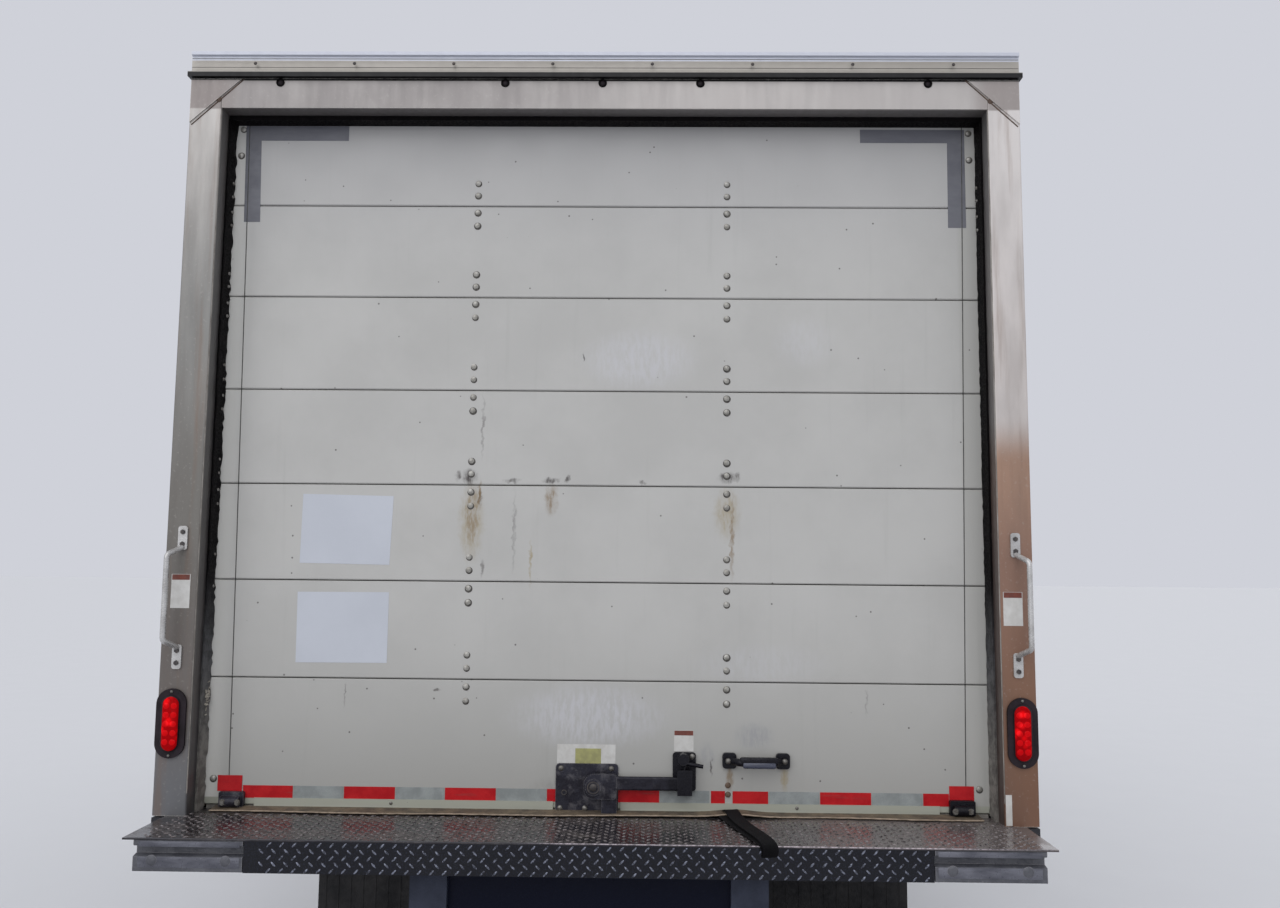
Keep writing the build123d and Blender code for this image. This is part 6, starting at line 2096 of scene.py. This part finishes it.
@dataclass
class CabTrim:
    """The cab's window gaskets, wipers, handles, mirror glass and dash fittings."""

    windshield: Outline = ((-0.878, 1.628), (-0.785, 2.247), (0.785, 2.247), (0.878, 1.628))
    rear_window: Outline = ((-0.430, 1.590), (-0.430, 2.090), (0.430, 2.090), (0.430, 1.590))
    door_window: Outline = ((2.362, 1.550), (3.086, 1.550), (2.822, 2.150), (2.362, 2.150))
    dials: tuple[Place, ...] = ((0.52, 1.565, 0.045), (0.40, 1.565, 0.045), (0.33, 1.545, 0.022),
                                (0.46, 1.530, 0.020))

    def gaskets(self) -> None:
        """Lays a rubber bead round each window, and fits the doors' handles and mirror glass."""
        shell = Skin("cab_front", "cab_rear")
        front = rounded(self.windshield, 0.09)
        shape = ring([shell.under((4.2, y, z), (-1, 0, 0), 0.001)[0] for y, z in front], 0.010)
        back = rounded(self.rear_window, 0.07)
        shape.join(ring([(2.199, y, z) for y, z in back], 0.009))
        shape.piece("cab_gaskets", Paint.FLAP, "black_rubber", crease=60)
        for side in Side:
            door = Skin(f"door_{side.word}")
            line = rounded(self.door_window, 0.06)
            points = [door.under((x, side.value * 1.4, z), (0, -side.value, 0), 0.0005)[0] for x, z in line]
            beads = ring(points, 0.008)
            beads.block((2.425, side.value * 1.022, 1.420), (2.515, side.value * 1.0545, 1.442), 0.004)
            beads.rod((2.555, side.value * 1.024, 1.431), (2.555, side.value * 1.034, 1.431), 0.011, 16)
            beads.piece(f"door_trim_{side.word}", Paint.FLAP, "black_rubber", f"door_{side.word}", 60)
            glass = Shape()
            for low, high in ((1.700, 2.008), (1.612, 1.690)):
                glass.block((3.0160, side.value * 1.196, low), (3.0235, side.value * 1.364, high), 0.003)
            glass.piece(f"mirror_glass_{side.word}", Paint.CHROME, "mirror_black", f"door_{side.word}")

    def wipers(self) -> None:
        """Lays two wipers on the windshield's lower edge."""
        pane, shape = Skin("cab_glass", "cab_front"), Shape()
        for y in (0.52, -0.30):
            start = pane.under((4.2, y - 0.33, 1.690), (-1, 0, 0), 0.012)[0]
            end = pane.under((4.2, y + 0.30, 1.700), (-1, 0, 0), 0.012)[0]
            middle = pane.under((4.2, y, 1.690), (-1, 0, 0), 0.014)[0]
            root = pane.under((4.2, y - 0.02, 1.600), (-1, 0, 0), 0.012)[0]
            shape.pipe([start, middle, end], 0.006, 8)
            shape.pipe([root, root.lerp(middle, 0.5) + Vector((0.012, 0, 0)), middle], 0.007, 8)
            shape.rod(root - Vector((0.03, 0, 0)), root + Vector((0.012, 0, 0.003)), 0.017, 16)
        shape.piece("wipers", Paint.PLASTIC, "black_rubber")

    def dash(self) -> None:
        """Fits the dials, vents and pedals."""
        face, dials = Skin("dashboard"), Shape()
        for y, z, size in self.dials:
            spot, _ = face.under((2.8, y, z), (1, 0, 0), 0.001)
            profile = ((0.0, 0.0), (size, 0.0), (size, 0.006), (size - 0.004, 0.006), (size - 0.006, 0.002),
                       (0, 0.002))
            dials.lathe(profile, facing(spot, (-1, 0, 0)), 24)
        for y in (0.72, 0.16, 0.02, -0.70):
            spot, _ = face.under((2.8, y, 1.46), (1, 0, 0), 0.0)
            for row in range(4):
                z = 1.435 + 0.013 * row
                dials.block((spot.x - 0.006, y - 0.05, z), (spot.x + 0.004, y + 0.05, z + 0.006), 0.002)
        for x, y in ((3.14, 0.55), (3.15, 0.42), (3.15, 0.30)):
            dials.block((x, y - 0.03, 1.06), (x + 0.012, y + 0.03, 1.15), 0.004)
            dials.rod((x + 0.006, y, 1.14), (x + 0.10, y, 1.24), 0.007, 8)
        dials.piece("dash_fittings", Paint.PLASTIC, "dash_grey")

    def build(self) -> None:
        """Builds the cab's fine pieces."""
        self.gaskets()
        self.wipers()
        self.dash()


@dataclass
class HoodTrim:
    """The hood's lamp bowls, grille screen, latches, vents and reflectors, and the engine's fittings."""

    lamp_z: float = 0.993
    bulbs: Outline = ((0.775, 0.066), (0.945, 0.066), (1.085, 0.034))
    signal_from: float = 1.0
    wires: tuple[int, int] = (47, 16)
    wire_pitch: float = 0.023
    shaft_z: float = 0.98
    blades: int = 9
    cleaner: tuple[float, float] = (0.50, 1.17)

    def lamps(self) -> None:
        """Sets the reflector bowls behind the headlamps' clear skin."""
        skin, bowls, amber, backs = Skin("headlamps"), Shape(), Shape(), Shape()
        for side in Side:
            for away, size in self.bulbs:
                y, bowl = side.value * away, amber if away > self.signal_from else bowls
                x = skin.under((5.4, y, self.lamp_z), (-1, 0, 0))[0].x
                seat = facing((x - 0.036, y, self.lamp_z), (1, 0, 0))
                profile = ((0.008, -0.056), (size * 0.5, -0.046), (size * 0.85, -0.024), (size, 0.0),
                           (size + 0.003, -0.002), (size * 0.87, -0.030), (size * 0.5, -0.052),
                           (0.008, -0.062))
                bowl.lathe(profile, seat, 28, True)
                bowl.dome(seat @ Matrix.Translation((0, 0, -0.046)), 0.013, 0.022, 14, 8)
                backs.rod((x - 0.110, y, self.lamp_z), (x - 0.098, y, self.lamp_z), size + 0.012, 20)
        bowls.piece("lamp_bowls", Paint.CHROME, "lamp_clear", "hood")
        amber.piece("signal_bowls", Paint.AMBER, "amber_lens", "hood")
        backs.piece("lamp_backs", Paint.PLASTIC, "black_hardware", "hood")

    def nose(self) -> None:
        """Fills the grille with a screen, and fits the latches, side reflectors and vents."""
        screen = Shape()
        for index in range(self.wires[0]):
            y = -0.529 + self.wire_pitch * index
            screen.block((4.764, y - 0.0022, 0.880), (4.770, y + 0.0022, 1.245))
        for index in range(self.wires[1]):
            z = 0.893 + self.wire_pitch * index
            screen.block((4.761, -0.535, z - 0.002), (4.765, 0.535, z + 0.002))
        screen.piece("grille_screen", Paint.PLASTIC, "black_hardware", "hood")
        skin, latches, reflectors = Skin("hood"), Shape(), Shape()
        for side in Side:
            inward = (0, -side.value, 0)
            seat = facing(*skin.under((3.60, side.value * 1.5, 1.42), inward))
            latch = Shape().block((-0.022, -0.060, -0.004), (0.022, 0.060, 0.012), 0.006)
            latches.stamp(latch.block((-0.030, -0.074, -0.004), (0.030, -0.046, 0.018), 0.006), [seat])
            for row in range(5):
                x, y, _ = skin.under((4.10 + 0.045 * row, side.value * 1.5, 1.36), inward)[0]
                latches.block((x - 0.006, y - 0.004, 1.315), (x + 0.006, y + 0.004, 1.405), 0.003)
            seat = facing(*skin.under((4.52, side.value * 1.6, 1.00), inward), 90)
            reflectors.stamp(Shape().block((-0.045, -0.02, -0.003), (0.045, 0.02, 0.006), 0.003), [seat])
        latches.piece("hood_latches", Paint.FLAP, "black_rubber", "hood")
        # These reflectors take the amber lens finish, whose glow is painted light on them
        reflectors.piece("fender_reflectors", Paint.AMBER, "amber_lens", "hood")

    def bumper(self) -> None:
        """Bolts the front bumper and hangs a blank plate on it."""
        bar, bolts = Skin("front_bumper"), []
        for side in Side:
            for y, z in ((0.35, 0.60), (0.35, 0.50), (0.52, 0.60), (0.52, 0.50)):
                bolts.append(facing(bar.under((5.4, side.value * y, z), (-1, 0, 0))[0], (1, 0, 0)))
        Shape().stamp(round_head(0.011, 0.005), bolts).piece("bumper_bolts", Paint.BOLT, "bumper_white")
        spot, _ = bar.under((5.4, 0.0, 0.52), (-1, 0, 0))
        plate = Shape().block((spot.x - 0.003, -0.152, 0.462), (spot.x + 0.001, 0.152, 0.614), 0.0008)
        plate.piece("blank_plate", Paint.LABEL, "bumper_white")

    def engine(self) -> None:
        """Fits the engine's covers, pulleys and fan, and the air cleaner beside it."""
        _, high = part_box("engine")
        parts = Shape()
        for index in range(7):
            x = 3.05 + 0.16 * index
            parts.block((x, -0.13, high.z - 0.006), (x + 0.10, 0.13, high.z + 0.045), 0.012)
        pulleys = ((0.0, 0.0), (0.15, 0.0), (0.15, 0.02), (0.05, 0.03), (0.05, 0.05), (0.13, 0.055),
                   (0.13, 0.075), (0, 0.08))
        parts.lathe(pulleys, facing((high.x - 0.02, 0.0, self.shaft_z), (1, 0, 0)), 32)
        blade = Shape().block((-0.028, 0.06, -0.003), (0.028, 0.225, 0.003), 0.002)
        blade.moved(Matrix.Rotation(math.radians(32), 4, "Y"))
        hub = facing((high.x + 0.10, 0.0, self.shaft_z), (1, 0, 0))
        parts.stamp(blade, [hub @ Matrix.Rotation(math.tau * index / self.blades, 4, "Z")
                            for index in range(self.blades)])
        parts.rod((high.x + 0.05, 0, self.shaft_z), (high.x + 0.12, 0, self.shaft_z), 0.07, 24, ease=0.008)
        parts.piece("engine_fittings", Paint.CAST, "cast_grey")
        cleaner = Shape().rod((3.56, *self.cleaner), (3.92, *self.cleaner), 0.095, 28, ease=0.015)
        duct = [(3.92, *self.cleaner), (4.02, *self.cleaner), (4.08, 0.44, 1.16), (4.10, 0.30, 1.14),
                (4.10, 0.16, 1.10)]
        cleaner.pipe(duct, 0.042, 14)
        for x in (3.62, 3.86):
            cleaner.rod((x, *self.cleaner), (x + 0.014, *self.cleaner), 0.099, 28)
        cleaner.piece("air_cleaner", Paint.PLASTIC, "black_hardware")

    def build(self) -> None:
        """Builds the fine pieces of the hood, the bumper and the engine."""
        self.lamps()
        self.nose()
        self.bumper()
        self.engine()


@dataclass
class Chassis:
    """What is bolted under the truck: spring clamps, tank straps, steps' grips and flap hangers."""

    spring_y: float = 0.40
    springs: tuple[Place, ...] = ((3.8, 0.60, 0.38), (-2.355, 0.70, 0.36))
    tank_middle: tuple[float, float] = (0.724, 0.655)
    lug: Place = (0.013, 0.004, 0.0022)

    def clamps(self) -> None:
        """Clamps each spring to its axle with U bolts."""
        shape = Shape()
        for x, top, low in self.springs:
            for sign in (1, -1):
                for shift in (-0.075, 0.075):
                    for away in (-0.052, 0.052):
                        y = sign * (self.spring_y + away)
                        shape.rod((x + shift, y, low), (x + shift, y, top - 0.01), 0.009, 10)
                        shape.rod((x + shift, y, low), (x + shift, y, low + 0.018), 0.016, 6)
                y = sign * self.spring_y
                shape.block((x - 0.10, y - 0.066, low + 0.016), (x + 0.10, y + 0.066, low + 0.032), 0.004)
        shape.piece("spring_clamps", Paint.CAST, "cast_grey")

    def tank(self) -> None:
        """Straps the fuel tank and screws on its cap."""
        straps, radius = Shape(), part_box("fuel_tank")[1].y - self.tank_middle[0]
        low, high = radius - 0.004, radius + 0.003
        for x in (2.42, 2.88):
            seat = facing((x, *self.tank_middle), (1, 0, 0))
            straps.lathe(((low, -0.022), (high, -0.022), (high, 0.022), (low, 0.022)), seat, 64, True)
        straps.piece("tank_straps", Paint.CHASSIS, "chassis_black")
        spot, way = Skin("fuel_tank").under((2.66, 1.3, 1.05), (0, -0.64, -0.45))
        cap = Shape().rod(spot - way * 0.01, spot + way * 0.022, 0.052, 24, ease=0.005)
        cap.rod(spot + way * 0.02, spot + way * 0.036, 0.034, 12, ease=0.003)
        cap.piece("fuel_cap", Paint.TANK, "tank_metal")

    def steps(self) -> None:
        """Raises grip lugs on the cab steps' treads, and bolts the battery box."""
        skin, spots, size = Skin("cab_steps"), [], Matrix.Diagonal((*self.lug, 1))
        for side in Side:
            for index in range(14):
                for y in (1.06, 1.10, 1.14):
                    for start in (1.0, 0.62):
                        spot, way = skin.under((2.50 + 0.04 * index, side.value * y, start), (0, 0, -1))
                        if way.z > 0.9 and spot.z > 0.4:
                            spots.append(facing(spot, way, 45 if index % 2 else -45) @ size)
        Shape().stamp(lug_head(), spots).piece("step_grips", Paint.TANK, "tank_metal")
        low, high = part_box("battery_box")
        latches = Shape()
        for x in (low.x + 0.12, high.x - 0.12):
            latches.block((x - 0.018, low.y - 0.006, 0.70), (x + 0.018, low.y + 0.004, 0.82), 0.004)
            latches.rod((x, low.y - 0.004, 0.80), (x, low.y - 0.012, 0.80), 0.012, 12)
        latches.piece("battery_latches", Paint.FLAP, "black_rubber")

    def flaps(self) -> None:
        """Hangs the mud flaps on their bars, and raises the ribs down their backs."""
        low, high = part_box("mud_flaps")
        bars = Shape()
        for x in (high.x - 0.002, low.x - 0.004):
            bars.block((x, 0.655, high.z - 0.035), (x + 0.006, 1.255, high.z), 0.001)
        bars.mirrored().piece("flap_bars", Paint.BOLT, "chassis_black")
        ribs = Shape()
        for sign in (1, -1):
            for index in range(11):
                y = sign * (0.69 + 0.053 * index)
                ribs.block((low.x - 0.002, y - 0.004, low.z + 0.03),
                           (low.x + 0.001, y + 0.004, high.z - 0.06))
        ribs.piece("flap_ribs", Paint.FLAP, "black_rubber")

    def build(self) -> None:
        """Builds what is bolted underneath."""
        self.clamps()
        self.tank()
        self.steps()
        self.flaps()


def dress_nodes() -> None:
    """Gives every frame node its finish."""
    for name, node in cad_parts.items():
        node.data.materials.clear()
        node.data.materials.append(NODE_FINISH[name].material())
        log.info("%s: finish %s", name, NODE_FINISH[name].name)


def main() -> None:
    """Builds the truck's dress in order."""
    logging.basicConfig(level=logging.INFO, format="%(name)s: %(message)s")
    Studio().build()
    dress_nodes()
    for part in (RollDoor(), Doorway(), LockSet(), PullStrap(), RearStep(), TailLamps(), GrabHandles(),
                 Wheels(), LoadBody(), Seats(), CabTrim(), HoodTrim(), Chassis()):
        part.build()


if __name__ == "__main__":
    main()
